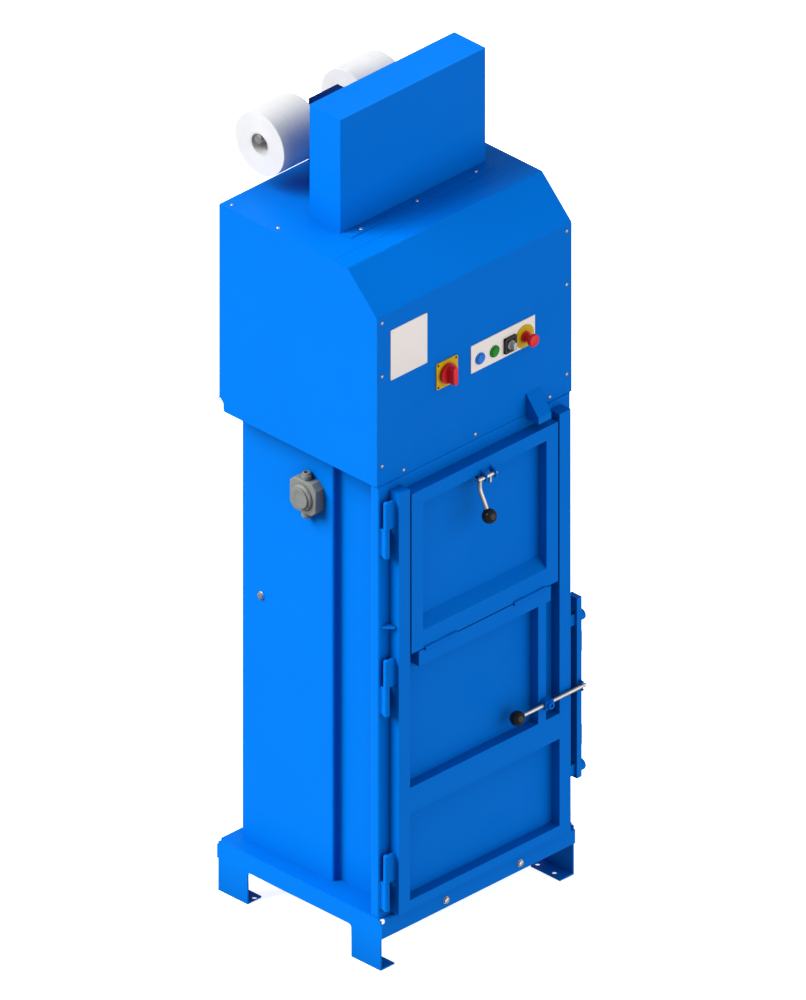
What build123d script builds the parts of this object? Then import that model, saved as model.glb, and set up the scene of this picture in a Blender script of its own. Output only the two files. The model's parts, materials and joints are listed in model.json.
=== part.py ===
"""Upright waste compactor with a hydraulic platen, a hinged main door and a fold-down filling hatch.

Millimetres. The origin lies on the floor at the centre of the foot holes, X to the right of someone who
stands in front of the machine, Y to the back and Z up. The front faces -Y.
"""
import os
from math import radians, sqrt

from build123d import *

os.makedirs("parts", exist_ok=True)

# Clearances
running_gap = 0.3
door_gap = 1
knuckle_gap = 0.8
socket_gap = 0.2

# Base
base_width = 608
base_depth = 510
base_height = 130
base_sheet = 4
base_bend = 6
base_corner_relief = 13
base_corner_relief_run = 11
rail_height = 48
leg_width = 92
leg_fillet = 8
foot_reach = 44
foot_hole_diameter = 13
foot_hole_from_side = 29
foot_hole_from_end = 32
foot_hole_pitch = 53

# Body frame
frame_front = 248
frame_back = 225
post_inset = 2.5
post_depth = 28
post_sheet = 4
post_bend = 6
wall_setback = 64.5
wall_step = 20
wall_step_from_front = 188
wall_sheet = 4
wall_bend = 6
wall_rise_into_hood = 64
lintel_height = 64
lintel_return = 14
bridge_thickness = 10
hinge_lug_height = 872
hinge_lug_thickness = 6
hinge_lug_reach = 26.5
hinge_lug_run = 24

# Hood
hood_side_proud = 2
hood_bottom = 1236
hood_top = 1763
hood_back = 250
hood_chamfer = 93
hood_lip = 47
hood_sheet = 2
hood_bend = 8
hood_seam_gap = 0.6
hood_back_notch = 11
hood_back_notch_height = 32
back_lip_reach = 16
back_lip_drop = 13

# Cylinder cover on the hood
cover_left = -209.5
cover_width = 456
cover_front = -35.5
cover_depth = 99
cover_height = 292
cover_sheet = 2
cover_corner = 2.5
cover_flange = 30
cover_opening_side_margin = 9
cover_opening_end_margin = 5

# Hydraulic cylinders and platen
cylinder_spread = 300
barrel_outer = 80
barrel_bore = 70
barrel_top_clearance = 13
gland_height = 30
head_height = 20
port_diameter = 26
port_length = 10
port_from_end = 16
rod_diameter = 40
piston_height = 50
piston_top_clearance = 12
platen_side_clearance = 5
platen_front_clearance = 16
platen_back_clearance = 7
platen_height = 60
platen_sheet = 8
platen_rest_gap = 25
platen_boss_diameter = 90
platen_boss_height = 46

# Hydraulic power pack
tank_width = 240
tank_depth = 140
tank_height = 250
tank_from_wall = 13
tank_from_back = 10
tank_corner = 12
motor_diameter = 130
motor_top_clearance = 22
motor_flange_diameter = 136
motor_flange_height = 14
motor_box_width = 70
motor_box_height = 60
motor_box_depth = 40
valve_width = 90
valve_depth = 80
valve_height = 70
valve_gap = 45
solenoid_diameter = 44
solenoid_length = 60

# Strap reels behind the cylinder cover
reel_diameter = 156
reel_bore = 50
reel_length = 121
reel_y = 228
reel_z = 1882
left_reel_start = -201
right_reel_start = 69
reel_edge = 3
axle_diameter = 20
axle_overhang = 6
bracket_left = -32
bracket_width = 90.5
bracket_top = 1925
bracket_sheet = 4
bracket_depth = 30

# Main door
door_side_inset = 31.5
door_thickness = 30
door_floor_gap = 8
door_height = 1080
stile_width = 35
tube_wall = 3
panel_sheet = 4
bottom_rail_height = 25
mid_rail_bottom = 386
mid_rail_height = 65
hinge_rail_top = 790
hinge_rail_height = 38
hinge_rail_end_gap = 28

# Door hinges
hinge_bottoms = (155, 655, 1060)
hinge_height = 140
hinge_diameter = 14
hinge_pin_diameter = 8
hinge_pin_rise = 60
hinge_from_door = 24
hinge_leaf = 6

# Filling hatch
hatch_side_gap = 5
hatch_bottom_gap = 3
hatch_top = 1202
hatch_stile_width = 36
hatch_top_rail_height = 35
hatch_sill_height = 46
hatch_sill_slope_height = 24
hatch_wall = 3
hatch_hinge_inset = 67
hatch_hinge_length = 100
hatch_knuckle_length = 39
hatch_knuckle_diameter = 10
hatch_pin_diameter = 5

# Hatch latch
latch_standoff = 11
latch_z = 1162
latch_rod_diameter = 11
latch_shaft_stub = 1
latch_shaft_reach = 50
latch_arm_x = -27
latch_arm_drop = 26
latch_arm_bend = 28
latch_ball_out = 30
latch_ball_drop = 81
latch_lug_thickness = 4
latch_lug_gap = 10
latch_lug_height = 16
latch_lug_edge = 8
latch_finger_left = 0
latch_finger_thickness = 5
latch_neck_drop = 8
latch_neck_height = 8
latch_hook_start = 50.5
latch_hook_length = 6.5
latch_hook_rise = 6
latch_slot_drop = 32
latch_slot_margin = 3
ball_diameter = 35
ball_socket_depth = 14

# Door lock
lock_z = 500
lock_post_from_stile = 67
lock_post_width = 24
lock_hub_offset = 6
lock_hub_width = 26
lock_hub_height = 22
lock_hub_depth = 18
lock_hub_edge = 5.5
lock_rod_diameter = 10
lock_rod_standoff = 9
lock_rod_overhang = 8.9
lock_ball_reach = 93
lock_pivot_diameter = 10
lock_pivot_head_diameter = 18
lock_pivot_head_height = 7
lock_turn_degrees = 12
lock_bar_gap = 19.6
lock_bar_width = 15
lock_bar_bottom = 261
lock_bar_length = 462
lock_guide_heights = (282, 667)
lock_guide_block = 28
lock_guide_depth = 16
lock_screw_diameter = 12
lock_screw_head_diameter = 27
lock_screw_head_height = 16
lock_slot_gap = 0.5
lock_peg_diameter = 7
lock_peg_length = 11
lock_peg_gap = 1.2
keeper_heights = (330, 570)
keeper_diameter = 14
keeper_length = 14
keeper_from_front = 14
claw_thickness = 5
claw_notch_gap = 2
claw_lift = 3
claw_bridge_height = 28
claw_jaw = 8
claw_overlap = 26

# Control plate and its controls on the hood front
control_plate_left = -12
control_plate_width = 200.6
control_plate_bottom = 1410
control_plate_height = 70
control_plate_sheet = 2
control_z = 1439
control_hole_diameter = 22.5
blue_button_x = 15.6
green_button_x = 60.6
selector_x = 107.5
estop_x = 155.6
bezel_diameter = 29
bezel_height = 3.5
bezel_wall = 3.5
button_proud = 1.5
button_travel = 3
button_stop_gap = 0.5
button_edge = 0.9
stem_diameter = 8
stem_length = 36
selector_bezel_width = 36
selector_bezel_height = 38
selector_bezel_depth = 8
selector_bezel_edge = 3
selector_lever_width = 9
selector_lever_reach = 12
selector_lever_inset = 1
estop_disc_diameter = 57
estop_disc_sheet = 2
estop_collar_diameter = 26
estop_collar_height = 6
estop_neck_reach = 15
estop_travel = 4
estop_head_diameter = 30
estop_head_height = 10
estop_head_edge = 3
contact_block_width = 30
contact_block_depth = 30

# Main switch on the hood front
switch_x = -88
switch_z = 1445
switch_plate_width = 67
switch_plate_sheet = 3
switch_plate_corner = 5
switch_knob_diameter = 48
switch_knob_disc = 8
switch_handle_width = 15
switch_handle_proud = 20
switch_handle_edge = 3
switch_handle_inset = 1

# Door switch guard under the control plate
guard_from_post = 71
guard_width = 40
guard_top = 1289
guard_bottom = 1224
guard_reach = 40
guard_nose = 16
guard_sheet = 3

# Junction box on the left wall
junction_y = 11
junction_z = 1100
junction_width = 82
junction_corner = 14
junction_depth = 26
junction_dome_diameter = 64
junction_dome_height = 8
junction_dome_edge = 5
junction_port_diameter = 24
junction_port_reach = 17
junction_lid_diameter = 50
junction_lid_height = 4

# Bolts
bolt_head_diameter = 18
bolt_head_height = 6
bolt_head_edge = 2
base_bolt_places = (-103, 130)
base_bolt_height = 102
wall_bolt_y = 167
wall_bolt_z = 773

# Places that follow from the sizes
half_base = base_width / 2
half_depth = base_depth / 2
rail_bottom = base_height - rail_height
post_outer = half_base - post_inset
front_wall_x = post_outer - wall_setback
rear_wall_x = front_wall_x + wall_step
post_inner = front_wall_x - wall_sheet
frame_face = -frame_front
wall_front = frame_face + post_sheet
wall_step_y = frame_face + wall_step_from_front
wall_top = hood_bottom + wall_rise_into_hood
bridge_top = wall_top + bridge_thickness
half_hood = half_base + hood_side_proud
hood_width = 2 * half_hood
hood_front = wall_front - hood_sheet
hood_inner_front = wall_front
cover_x = cover_left + cover_width / 2
cylinder_y = cover_front + cover_depth / 2
cylinder_x = cylinder_spread / 2
barrel_top = hood_top + cover_height - cover_sheet - barrel_top_clearance
platen_top = wall_top - platen_rest_gap
platen_bottom = platen_top - platen_height
platen_half_width = post_inner - platen_side_clearance
platen_front = wall_front + platen_front_clearance
platen_back = frame_back - wall_sheet - platen_back_clearance
axle_z = reel_z + reel_bore / 2 - axle_diameter / 2 - running_gap
door_back = frame_face - door_gap
door_front = door_back - door_thickness
door_bottom = base_height + door_floor_gap
half_door = post_outer - door_side_inset
stile_inner = half_door - stile_width
rail_depth = door_thickness - panel_sheet
rail_y = door_front + rail_depth / 2
hinge_x = -half_door - hinge_from_door
hinge_y = door_front + door_thickness / 2
half_hatch = stile_inner - hatch_side_gap
hatch_bottom = hinge_rail_top + hatch_bottom_gap
hatch_axis_z = hinge_rail_top + hatch_bottom_gap / 2
hatch_height = hatch_top - hatch_bottom
latch_y = door_front - latch_standoff
ball_radius = ball_diameter / 2
lock_rod_y = door_front - lock_rod_standoff
lock_post_left = stile_inner - lock_post_from_stile
lock_hub_x = lock_post_left + lock_post_width / 2 + lock_hub_offset
lock_ball_x = lock_hub_x - lock_ball_reach
lock_bar_left = half_door + lock_bar_gap
lock_bar_right = lock_bar_left + lock_bar_width
lock_bar_x = lock_bar_left + lock_bar_width / 2
lock_rod_end = lock_bar_x + lock_rod_overhang
lock_travel = (lock_bar_x - lock_hub_x) * radians(lock_turn_degrees)
keeper_y = frame_face + keeper_from_front
guard_left = post_inner - guard_from_post
control_face = hood_front - control_plate_sheet
control_places = (blue_button_x, green_button_x, selector_x, estop_x)


def write(piece, label):
    """Label a finished piece and write it as one node."""
    piece.part.label = label
    export_step(piece.part, f"parts/{label}.step")


def folded_section(plane, points, sheet, bend, side):
    """Section of a folded sheet from the points of its outer face, with rounded folds."""
    with BuildSketch(plane) as section:
        with BuildLine():
            FilletPolyline(*points, radius=bend)
            offset(amount=sheet, side=side)
        make_face()
    return section.sketch


def tube_section(plane, center, width, height, wall):
    """Section of a rectangular tube about a centre on the plane."""
    with BuildSketch(plane) as section:
        with Locations(center):
            Rectangle(width, height)
            Rectangle(width - 2 * wall, height - 2 * wall, mode=Mode.SUBTRACT)
    return section.sketch


def plate_section(plane, low, high):
    """Rectangle between two corners on the plane."""
    with BuildSketch(plane) as section:
        with Locations(((low[0] + high[0]) / 2, (low[1] + high[1]) / 2)):
            Rectangle(high[0] - low[0], high[1] - low[1])
    return section.sketch


def disc_section(plane, centers, diameter):
    """Discs of one diameter about the centres on the plane."""
    with BuildSketch(plane) as section:
        with Locations(*centers):
            Circle(diameter / 2)
    return section.sketch


# Base tray: floor of the chamber with its front and back rails folded down and notched corners
with BuildPart() as base_tray:
    tray_front = half_depth + base_sheet
    extrude(
        folded_section(
            Plane.YZ.offset(-half_base),
            [
                (-tray_front, rail_bottom),
                (-tray_front, base_height),
                (tray_front, base_height),
                (tray_front, rail_bottom),
            ],
            base_sheet,
            base_bend,
            Side.RIGHT,
        ),
        amount=base_width,
    )
    with BuildSketch(Plane.XY.offset(base_height)):
        with Locations(*[(x, y) for x in (-half_base, half_base) for y in (-tray_front, tray_front)]):
            Rectangle(2 * base_corner_relief, 2 * base_corner_relief_run)
    extrude(amount=-base_corner_relief, mode=Mode.SUBTRACT)
write(base_tray, "base_tray")

# Base side: plate with two legs, and feet folded inwards with two floor holes each
with BuildPart() as base_right_side:
    with BuildSketch(Plane.YZ.offset(half_base - base_sheet)) as side_plate:
        with BuildLine():
            Polyline(
                (-half_depth, 0),
                (-half_depth + leg_width, 0),
                (-half_depth + leg_width, rail_bottom),
                (half_depth - leg_width, rail_bottom),
                (half_depth - leg_width, 0),
                (half_depth, 0),
                (half_depth, base_height - base_sheet),
                (-half_depth, base_height - base_sheet),
                close=True,
            )
        make_face()
        fillet(side_plate.vertices().group_by(Axis.Y)[1], leg_fillet)
        fillet(side_plate.vertices().group_by(Axis.Y)[-1], base_bend - base_sheet)
    extrude(amount=base_sheet)
    with BuildSketch(Plane.XY):
        with Locations(
            (half_base - foot_reach / 2, -half_depth + leg_width / 2),
            (half_base - foot_reach / 2, half_depth - leg_width / 2),
        ):
            Rectangle(foot_reach, leg_width)
        foot_hole_x = half_base - foot_hole_from_side
        outer_hole_y = half_depth - foot_hole_from_end
        inner_hole_y = outer_hole_y - foot_hole_pitch
        foot_hole_places = (-outer_hole_y, -inner_hole_y, inner_hole_y, outer_hole_y)
        with Locations(*[(foot_hole_x, y) for y in foot_hole_places]):
            Circle(foot_hole_diameter / 2, mode=Mode.SUBTRACT)
    extrude(amount=base_sheet)
write(base_right_side, "base_right_side")

with BuildPart() as base_left_side:
    mirror(base_right_side.part, about=Plane.YZ)
write(base_left_side, "base_left_side")

# Chamber walls: folded sheets that step outwards behind the posts
with BuildPart() as left_wall:
    extrude(
        folded_section(
            Plane.XY.offset(base_height),
            [
                (-front_wall_x, wall_front),
                (-front_wall_x, wall_step_y),
                (-rear_wall_x, wall_step_y),
                (-rear_wall_x, frame_back - wall_sheet),
            ],
            wall_sheet,
            wall_bend,
            Side.RIGHT,
        ),
        amount=wall_top - base_height,
    )
write(left_wall, "left_wall")

with BuildPart() as right_wall:
    mirror(left_wall.part, about=Plane.YZ)
write(right_wall, "right_wall")

with BuildPart() as back_wall:
    extrude(
        plate_section(
            Plane.XY.offset(base_height),
            (-rear_wall_x, frame_back - wall_sheet),
            (rear_wall_x, frame_back),
        ),
        amount=wall_top - base_height,
    )
write(back_wall, "back_wall")

# Front posts: channels folded round the front edges of the walls
post_section = folded_section(
    Plane.XY.offset(base_height),
    [
        (-front_wall_x, frame_face + post_depth),
        (-post_outer, frame_face + post_depth),
        (-post_outer, frame_face),
        (-post_inner, frame_face),
    ],
    post_sheet,
    post_bend,
    Side.LEFT,
)
with BuildPart() as left_post:
    extrude(post_section, amount=hood_bottom - base_height)
    with BuildSketch(Plane.XY.offset(hinge_lug_height)):
        with BuildLine():
            Polyline(
                (-post_outer + post_bend, frame_face),
                (-post_outer + hinge_lug_reach, frame_face - hinge_lug_run),
                (-post_outer + hinge_lug_reach, frame_face),
                close=True,
            )
        make_face()
    extrude(amount=hinge_lug_thickness)
write(left_post, "left_post")

with BuildPart() as right_post:
    extrude(mirror(post_section, about=Plane.YZ, mode=Mode.PRIVATE), amount=hood_bottom - base_height)
write(right_post, "right_post")

# Lintel: angle across the top of the door opening, whose lower edge the hatch latch catches
with BuildPart() as lintel:
    extrude(
        folded_section(
            Plane.YZ.offset(-post_inner),
            [
                (frame_face, hood_bottom - lintel_height),
                (frame_face, hood_bottom),
                (frame_face + lintel_return, hood_bottom),
            ],
            post_sheet,
            post_bend,
            Side.RIGHT,
        ),
        amount=2 * post_inner,
    )
write(lintel, "lintel")

# Cylinder bridge: plate on top of the walls that carries the cylinders
rod_places = [(-cylinder_x, cylinder_y), (cylinder_x, cylinder_y)]
with BuildPart() as cylinder_bridge:
    extrude(
        plate_section(Plane.XY.offset(wall_top), (-rear_wall_x, wall_front), (rear_wall_x, frame_back)),
        amount=bridge_thickness,
    )
    extrude(
        disc_section(Plane.XY.offset(wall_top), rod_places, rod_diameter + 2 * running_gap),
        amount=bridge_thickness,
        mode=Mode.SUBTRACT,
    )
write(cylinder_bridge, "cylinder_bridge")

# Hood side panels: shallow pans with a flange all round that the covers are screwed to
pan_chamfer_loss_share = 2 - sqrt(2)
pan_chamfer = hood_chamfer - hood_sheet * pan_chamfer_loss_share
pan_top = hood_top - hood_sheet
pan_back = hood_back - hood_sheet
pan_depth = half_hood - rear_wall_x
with BuildPart() as hood_left_panel:
    with BuildSketch(Plane.YZ.offset(-half_hood)):
        with BuildLine():
            FilletPolyline(
                (hood_inner_front, hood_bottom),
                (hood_inner_front, pan_top - pan_chamfer),
                (hood_inner_front + pan_chamfer, pan_top),
                (pan_back, pan_top),
                (pan_back, hood_bottom + hood_back_notch_height),
                (pan_back - hood_back_notch, hood_bottom + hood_back_notch_height - hood_back_notch),
                (pan_back - hood_back_notch, hood_bottom),
                radius=hood_bend - hood_sheet,
                close=True,
            )
        make_face()
    extrude(amount=pan_depth)
    pan_mouth = hood_left_panel.faces().sort_by(Axis.X)[-1]
    offset(amount=-hood_sheet, openings=pan_mouth)
write(hood_left_panel, "hood_left_panel")

with BuildPart() as hood_right_panel:
    mirror(hood_left_panel.part, about=Plane.YZ)
write(hood_right_panel, "hood_right_panel")

# Hood front cover: one sheet with the front, the sloped corner and a top lip
lip_end = hood_front + hood_chamfer + hood_lip
stem_places = [(x, control_z) for x in control_places]
with BuildPart() as hood_front_cover:
    extrude(
        folded_section(
            Plane.YZ.offset(-half_hood),
            [
                (hood_front, hood_bottom),
                (hood_front, hood_top - hood_chamfer),
                (hood_front + hood_chamfer, hood_top),
                (lip_end, hood_top),
            ],
            hood_sheet,
            hood_bend,
            Side.RIGHT,
        ),
        amount=hood_width,
    )
    extrude(
        disc_section(
            Plane.XZ.offset(-hood_inner_front), stem_places + [(switch_x, switch_z)], control_hole_diameter
        ),
        amount=hood_sheet,
        mode=Mode.SUBTRACT,
    )
write(hood_front_cover, "hood_front_cover")

# Hood top panel with the opening that the cylinders rise through
with BuildPart() as hood_top_panel:
    with BuildSketch(Plane.XY.offset(hood_top - hood_sheet)):
        panel_front = lip_end + hood_seam_gap
        with Locations((0, (panel_front + hood_back) / 2)):
            Rectangle(hood_width, hood_back - panel_front)
        with Locations((cover_x, cylinder_y)):
            Rectangle(
                cover_width - 2 * cover_opening_side_margin,
                cover_depth - 2 * cover_opening_end_margin,
                mode=Mode.SUBTRACT,
            )
    extrude(amount=hood_sheet)
write(hood_top_panel, "hood_top_panel")

# Hood back panel with its lower edge bent outwards
with BuildPart() as hood_back_panel:
    lip_top = hood_bottom + hood_back_notch_height
    extrude(
        folded_section(
            Plane.YZ.offset(-half_hood),
            [
                (hood_back + back_lip_reach, lip_top - back_lip_drop),
                (hood_back, lip_top),
                (hood_back, hood_top - hood_sheet),
            ],
            hood_sheet,
            hood_bend,
            Side.LEFT,
        ),
        amount=hood_width,
    )
write(hood_back_panel, "hood_back_panel")

# Cylinder cover: tall folded box with a screw flange along its front
with BuildPart() as cylinder_cover:
    with BuildSketch(Plane.XY.offset(hood_top)):
        with Locations((cover_x, cylinder_y)):
            RectangleRounded(cover_width, cover_depth, cover_corner)
    extrude(amount=cover_height)
    offset(amount=-cover_sheet, openings=cylinder_cover.faces().sort_by(Axis.Z)[0])
    extrude(
        plate_section(
            Plane.XY.offset(hood_top),
            (cover_left + cover_corner, cover_front - cover_flange),
            (cover_left + cover_width - cover_corner, cover_front + cover_sheet),
        ),
        amount=cover_sheet,
    )
write(cylinder_cover, "cylinder_cover")

# Door switch guard: bent sheet with two cheeks below the controls, set round the lintel
with BuildPart() as switch_guard:
    with BuildSketch(Plane.YZ.offset(guard_left)):
        with BuildLine():
            Polyline(
                (hood_front, guard_top),
                (hood_front - guard_reach, guard_bottom + guard_nose),
                (hood_front - guard_reach, guard_bottom),
                (frame_face - running_gap, guard_bottom),
                (frame_face - running_gap, hood_bottom + running_gap),
                (hood_front, hood_bottom + running_gap),
                close=True,
            )
        make_face()
    extrude(amount=guard_width)
    guard_faces = switch_guard.faces()
    guard_back_sides = guard_faces.filter_by(Axis.Y).sort_by(Axis.Y)[1:]
    guard_under_sides = guard_faces.filter_by(Axis.Z)
    offset(amount=-guard_sheet, openings=guard_back_sides + guard_under_sides)
write(switch_guard, "switch_guard")

# Hydraulic cylinders: barrels with a rod gland below, a closed head above and two oil ports
for name, x in (("left_cylinder", -cylinder_x), ("right_cylinder", cylinder_x)):
    with BuildPart() as cylinder:
        extrude(
            disc_section(Plane.XY.offset(bridge_top), [(x, cylinder_y)], barrel_outer),
            amount=barrel_top - bridge_top,
        )
        for port_z in (bridge_top + gland_height + port_from_end, hood_top - hood_sheet - port_diameter):
            extrude(
                disc_section(
                    Plane.XZ.offset(-cylinder_y - barrel_outer / 2 - port_length),
                    [(x, port_z)],
                    port_diameter,
                ),
                amount=port_length + barrel_outer / 2,
            )
        extrude(
            disc_section(Plane.XY.offset(bridge_top + gland_height), [(x, cylinder_y)], barrel_bore),
            amount=barrel_top - head_height - bridge_top - gland_height,
            mode=Mode.SUBTRACT,
        )
        extrude(
            disc_section(Plane.XY.offset(bridge_top), [(x, cylinder_y)], rod_diameter + 2 * running_gap),
            amount=gland_height,
            mode=Mode.SUBTRACT,
        )
    write(cylinder, name)

# Piston rods with their pistons
piston_top = barrel_top - head_height - piston_top_clearance
piston_diameter = barrel_bore - 2 * running_gap
with BuildPart() as piston_rods:
    extrude(
        disc_section(Plane.XY.offset(platen_bottom + platen_sheet), rod_places, rod_diameter),
        amount=piston_top - platen_bottom - platen_sheet,
    )
    extrude(
        disc_section(Plane.XY.offset(piston_top - piston_height), rod_places, piston_diameter),
        amount=piston_height,
    )
write(piston_rods, "piston_rods")

# Platen: open tray with a thick face and a boss for each rod
with BuildPart() as platen:
    extrude(
        plate_section(
            Plane.XY.offset(platen_bottom),
            (-platen_half_width, platen_front),
            (platen_half_width, platen_back),
        ),
        amount=platen_height,
    )
    offset(amount=-platen_sheet, openings=platen.faces().sort_by(Axis.Z)[-1])
    extrude(
        disc_section(Plane.XY.offset(platen_bottom + platen_sheet), rod_places, platen_boss_diameter),
        amount=platen_boss_height,
    )
    extrude(
        disc_section(Plane.XY.offset(platen_bottom + platen_sheet), rod_places, rod_diameter),
        amount=platen_height,
        mode=Mode.SUBTRACT,
    )
write(platen, "platen")

# Hydraulic tank, pump motor and valve block behind the cylinders
tank_left = -rear_wall_x + tank_from_wall
tank_back = frame_back - tank_from_back
tank_x = tank_left + tank_width / 2
tank_y = tank_back - tank_depth / 2
tank_top = bridge_top + tank_height
motor_bottom = tank_top + motor_flange_height
motor_height = hood_top - hood_sheet - motor_top_clearance - motor_bottom
with BuildPart() as hydraulic_tank:
    with BuildSketch(Plane.XY.offset(bridge_top)):
        with Locations((tank_x, tank_y)):
            RectangleRounded(tank_width, tank_depth, tank_corner)
    extrude(amount=tank_height)
write(hydraulic_tank, "hydraulic_tank")

with BuildPart() as pump_motor:
    extrude(
        disc_section(Plane.XY.offset(tank_top), [(tank_x, tank_y)], motor_flange_diameter),
        amount=motor_flange_height,
    )
    extrude(
        disc_section(Plane.XY.offset(motor_bottom), [(tank_x, tank_y)], motor_diameter),
        amount=motor_height,
    )
    box_bottom = motor_bottom + (motor_height - motor_box_height) / 2
    extrude(
        plate_section(
            Plane.XY.offset(box_bottom),
            (tank_x + motor_diameter / 2 - motor_box_depth / 2, tank_y - motor_box_width / 2),
            (tank_x + motor_diameter / 2 + motor_box_depth / 2, tank_y + motor_box_width / 2),
        ),
        amount=motor_box_height,
    )
write(pump_motor, "pump_motor")

with BuildPart() as valve_block:
    valve_left = tank_left + tank_width + valve_gap
    extrude(
        plate_section(
            Plane.XY.offset(bridge_top),
            (valve_left, tank_y - valve_depth / 2),
            (valve_left + valve_width, tank_y + valve_depth / 2),
        ),
        amount=valve_height,
    )
    extrude(
        disc_section(
            Plane.YZ.offset(valve_left + valve_width),
            [(tank_y, bridge_top + valve_height / 2)],
            solenoid_diameter,
        ),
        amount=solenoid_length,
    )
write(valve_block, "valve_block")

# Strap reels, which hang on a fixed axle through their wider bores
reel_starts = {"left_reel": left_reel_start, "right_reel": right_reel_start}
for name, start in reel_starts.items():
    with BuildPart() as reel:
        extrude(disc_section(Plane.YZ.offset(start), [(reel_y, reel_z)], reel_diameter), amount=reel_length)
        rims = reel.edges().filter_by(GeomType.CIRCLE)
        chamfer(rims, reel_edge)
        extrude(
            disc_section(Plane.YZ.offset(start), [(reel_y, reel_z)], reel_bore),
            amount=reel_length,
            mode=Mode.SUBTRACT,
        )
    write(reel, name)

axle_start = left_reel_start - axle_overhang
axle_length = right_reel_start + reel_length + axle_overhang - axle_start
with BuildPart() as reel_axle:
    extrude(
        disc_section(Plane.YZ.offset(axle_start), [(reel_y, axle_z)], axle_diameter),
        amount=axle_length,
    )
write(reel_axle, "reel_axle")

# Reel bracket: folded pan on the hood that holds the axle between the reels
with BuildPart() as reel_bracket:
    extrude(
        plate_section(
            Plane.XZ.offset(-reel_y - bracket_depth / 2),
            (bracket_left, hood_top),
            (bracket_left + bracket_width, bracket_top),
        ),
        amount=bracket_depth,
    )
    offset(amount=-bracket_sheet, openings=reel_bracket.faces().sort_by(Axis.Y)[-1])
    extrude(
        disc_section(Plane.YZ.offset(bracket_left), [(reel_y, axle_z)], axle_diameter),
        amount=bracket_width,
        mode=Mode.SUBTRACT,
    )
write(reel_bracket, "reel_bracket")

# Door hinges: a lower half with a fixed pin on the post, an upper half on the door
half_hinge = hinge_height / 2
half_leaf = hinge_leaf / 2
with BuildPart() as frame_hinge_halves:
    for bottom in hinge_bottoms:
        lower = Plane.XY.offset(bottom)
        extrude(disc_section(lower, [(hinge_x, hinge_y)], hinge_diameter), amount=half_hinge - running_gap)
        extrude(
            plate_section(lower, (hinge_x - half_leaf, hinge_y), (hinge_x + half_leaf, frame_face)),
            amount=half_hinge - running_gap,
        )
        extrude(
            disc_section(lower, [(hinge_x, hinge_y)], hinge_pin_diameter),
            amount=half_hinge + hinge_pin_rise,
        )
write(frame_hinge_halves, "frame_hinge_halves")

with BuildPart() as door_hinge_halves:
    for bottom in hinge_bottoms:
        upper = Plane.XY.offset(bottom + half_hinge + running_gap)
        extrude(disc_section(upper, [(hinge_x, hinge_y)], hinge_diameter), amount=half_hinge - running_gap)
        extrude(
            plate_section(upper, (hinge_x, hinge_y - half_leaf), (-half_door, hinge_y + half_leaf)),
            amount=half_hinge - running_gap,
        )
        extrude(
            disc_section(upper, [(hinge_x, hinge_y)], hinge_pin_diameter + 2 * running_gap),
            amount=hinge_pin_rise,
            mode=Mode.SUBTRACT,
        )
write(door_hinge_halves, "door_hinge_halves")

# Main door: stiles with a cap on top, rails and panel of the swinging frame
stile_y = door_front + door_thickness / 2
stile_x = half_door - stile_width / 2
stile_foot = Plane.XY.offset(door_bottom)
stile_cap = Plane.XY.offset(door_bottom + door_height)
with BuildPart() as door_left_stile:
    extrude(
        tube_section(stile_foot, (-stile_x, stile_y), stile_width, door_thickness, tube_wall),
        amount=door_height,
    )
    extrude(
        plate_section(stile_cap, (-half_door, door_front), (-stile_inner, door_back)),
        amount=-tube_wall,
    )
write(door_left_stile, "door_left_stile")

with BuildPart() as door_right_stile:
    extrude(
        tube_section(stile_foot, (stile_x, stile_y), stile_width, door_thickness, tube_wall),
        amount=door_height,
    )
    extrude(
        plate_section(stile_cap, (stile_inner, door_front), (half_door, door_back)),
        amount=-tube_wall,
    )
    for z in lock_guide_heights:
        extrude(
            plate_section(
                Plane.YZ.offset(half_door),
                (stile_y - lock_guide_depth / 2, z - lock_guide_block / 2),
                (stile_y + lock_guide_depth / 2, z + lock_guide_block / 2),
            ),
            amount=lock_bar_gap - running_gap,
        )
write(door_right_stile, "door_right_stile")

rail_plane = Plane.YZ.offset(-stile_inner)
with BuildPart() as door_mid_rail:
    mid_rail_z = mid_rail_bottom + mid_rail_height / 2
    extrude(
        tube_section(rail_plane, (rail_y, mid_rail_z), rail_depth, mid_rail_height, tube_wall),
        amount=2 * stile_inner,
    )
write(door_mid_rail, "door_mid_rail")

with BuildPart() as door_bottom_rail:
    bottom_rail_z = door_bottom + bottom_rail_height / 2
    extrude(
        tube_section(rail_plane, (rail_y, bottom_rail_z), rail_depth, bottom_rail_height, tube_wall),
        amount=2 * stile_inner,
    )
write(door_bottom_rail, "door_bottom_rail")

with BuildPart() as door_panel:
    extrude(
        plate_section(
            Plane.XZ.offset(-door_back),
            (-stile_inner, door_bottom),
            (stile_inner, hinge_rail_top),
        ),
        amount=panel_sheet,
    )
write(door_panel, "door_panel")

with BuildPart() as lock_post:
    lock_post_bottom = mid_rail_bottom + mid_rail_height
    extrude(
        tube_section(
            Plane.XY.offset(lock_post_bottom),
            (lock_post_left + lock_post_width / 2, rail_y),
            lock_post_width,
            rail_depth,
            tube_wall,
        ),
        amount=hinge_rail_top - hinge_rail_height - lock_post_bottom,
    )
write(lock_post, "lock_post")

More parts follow.
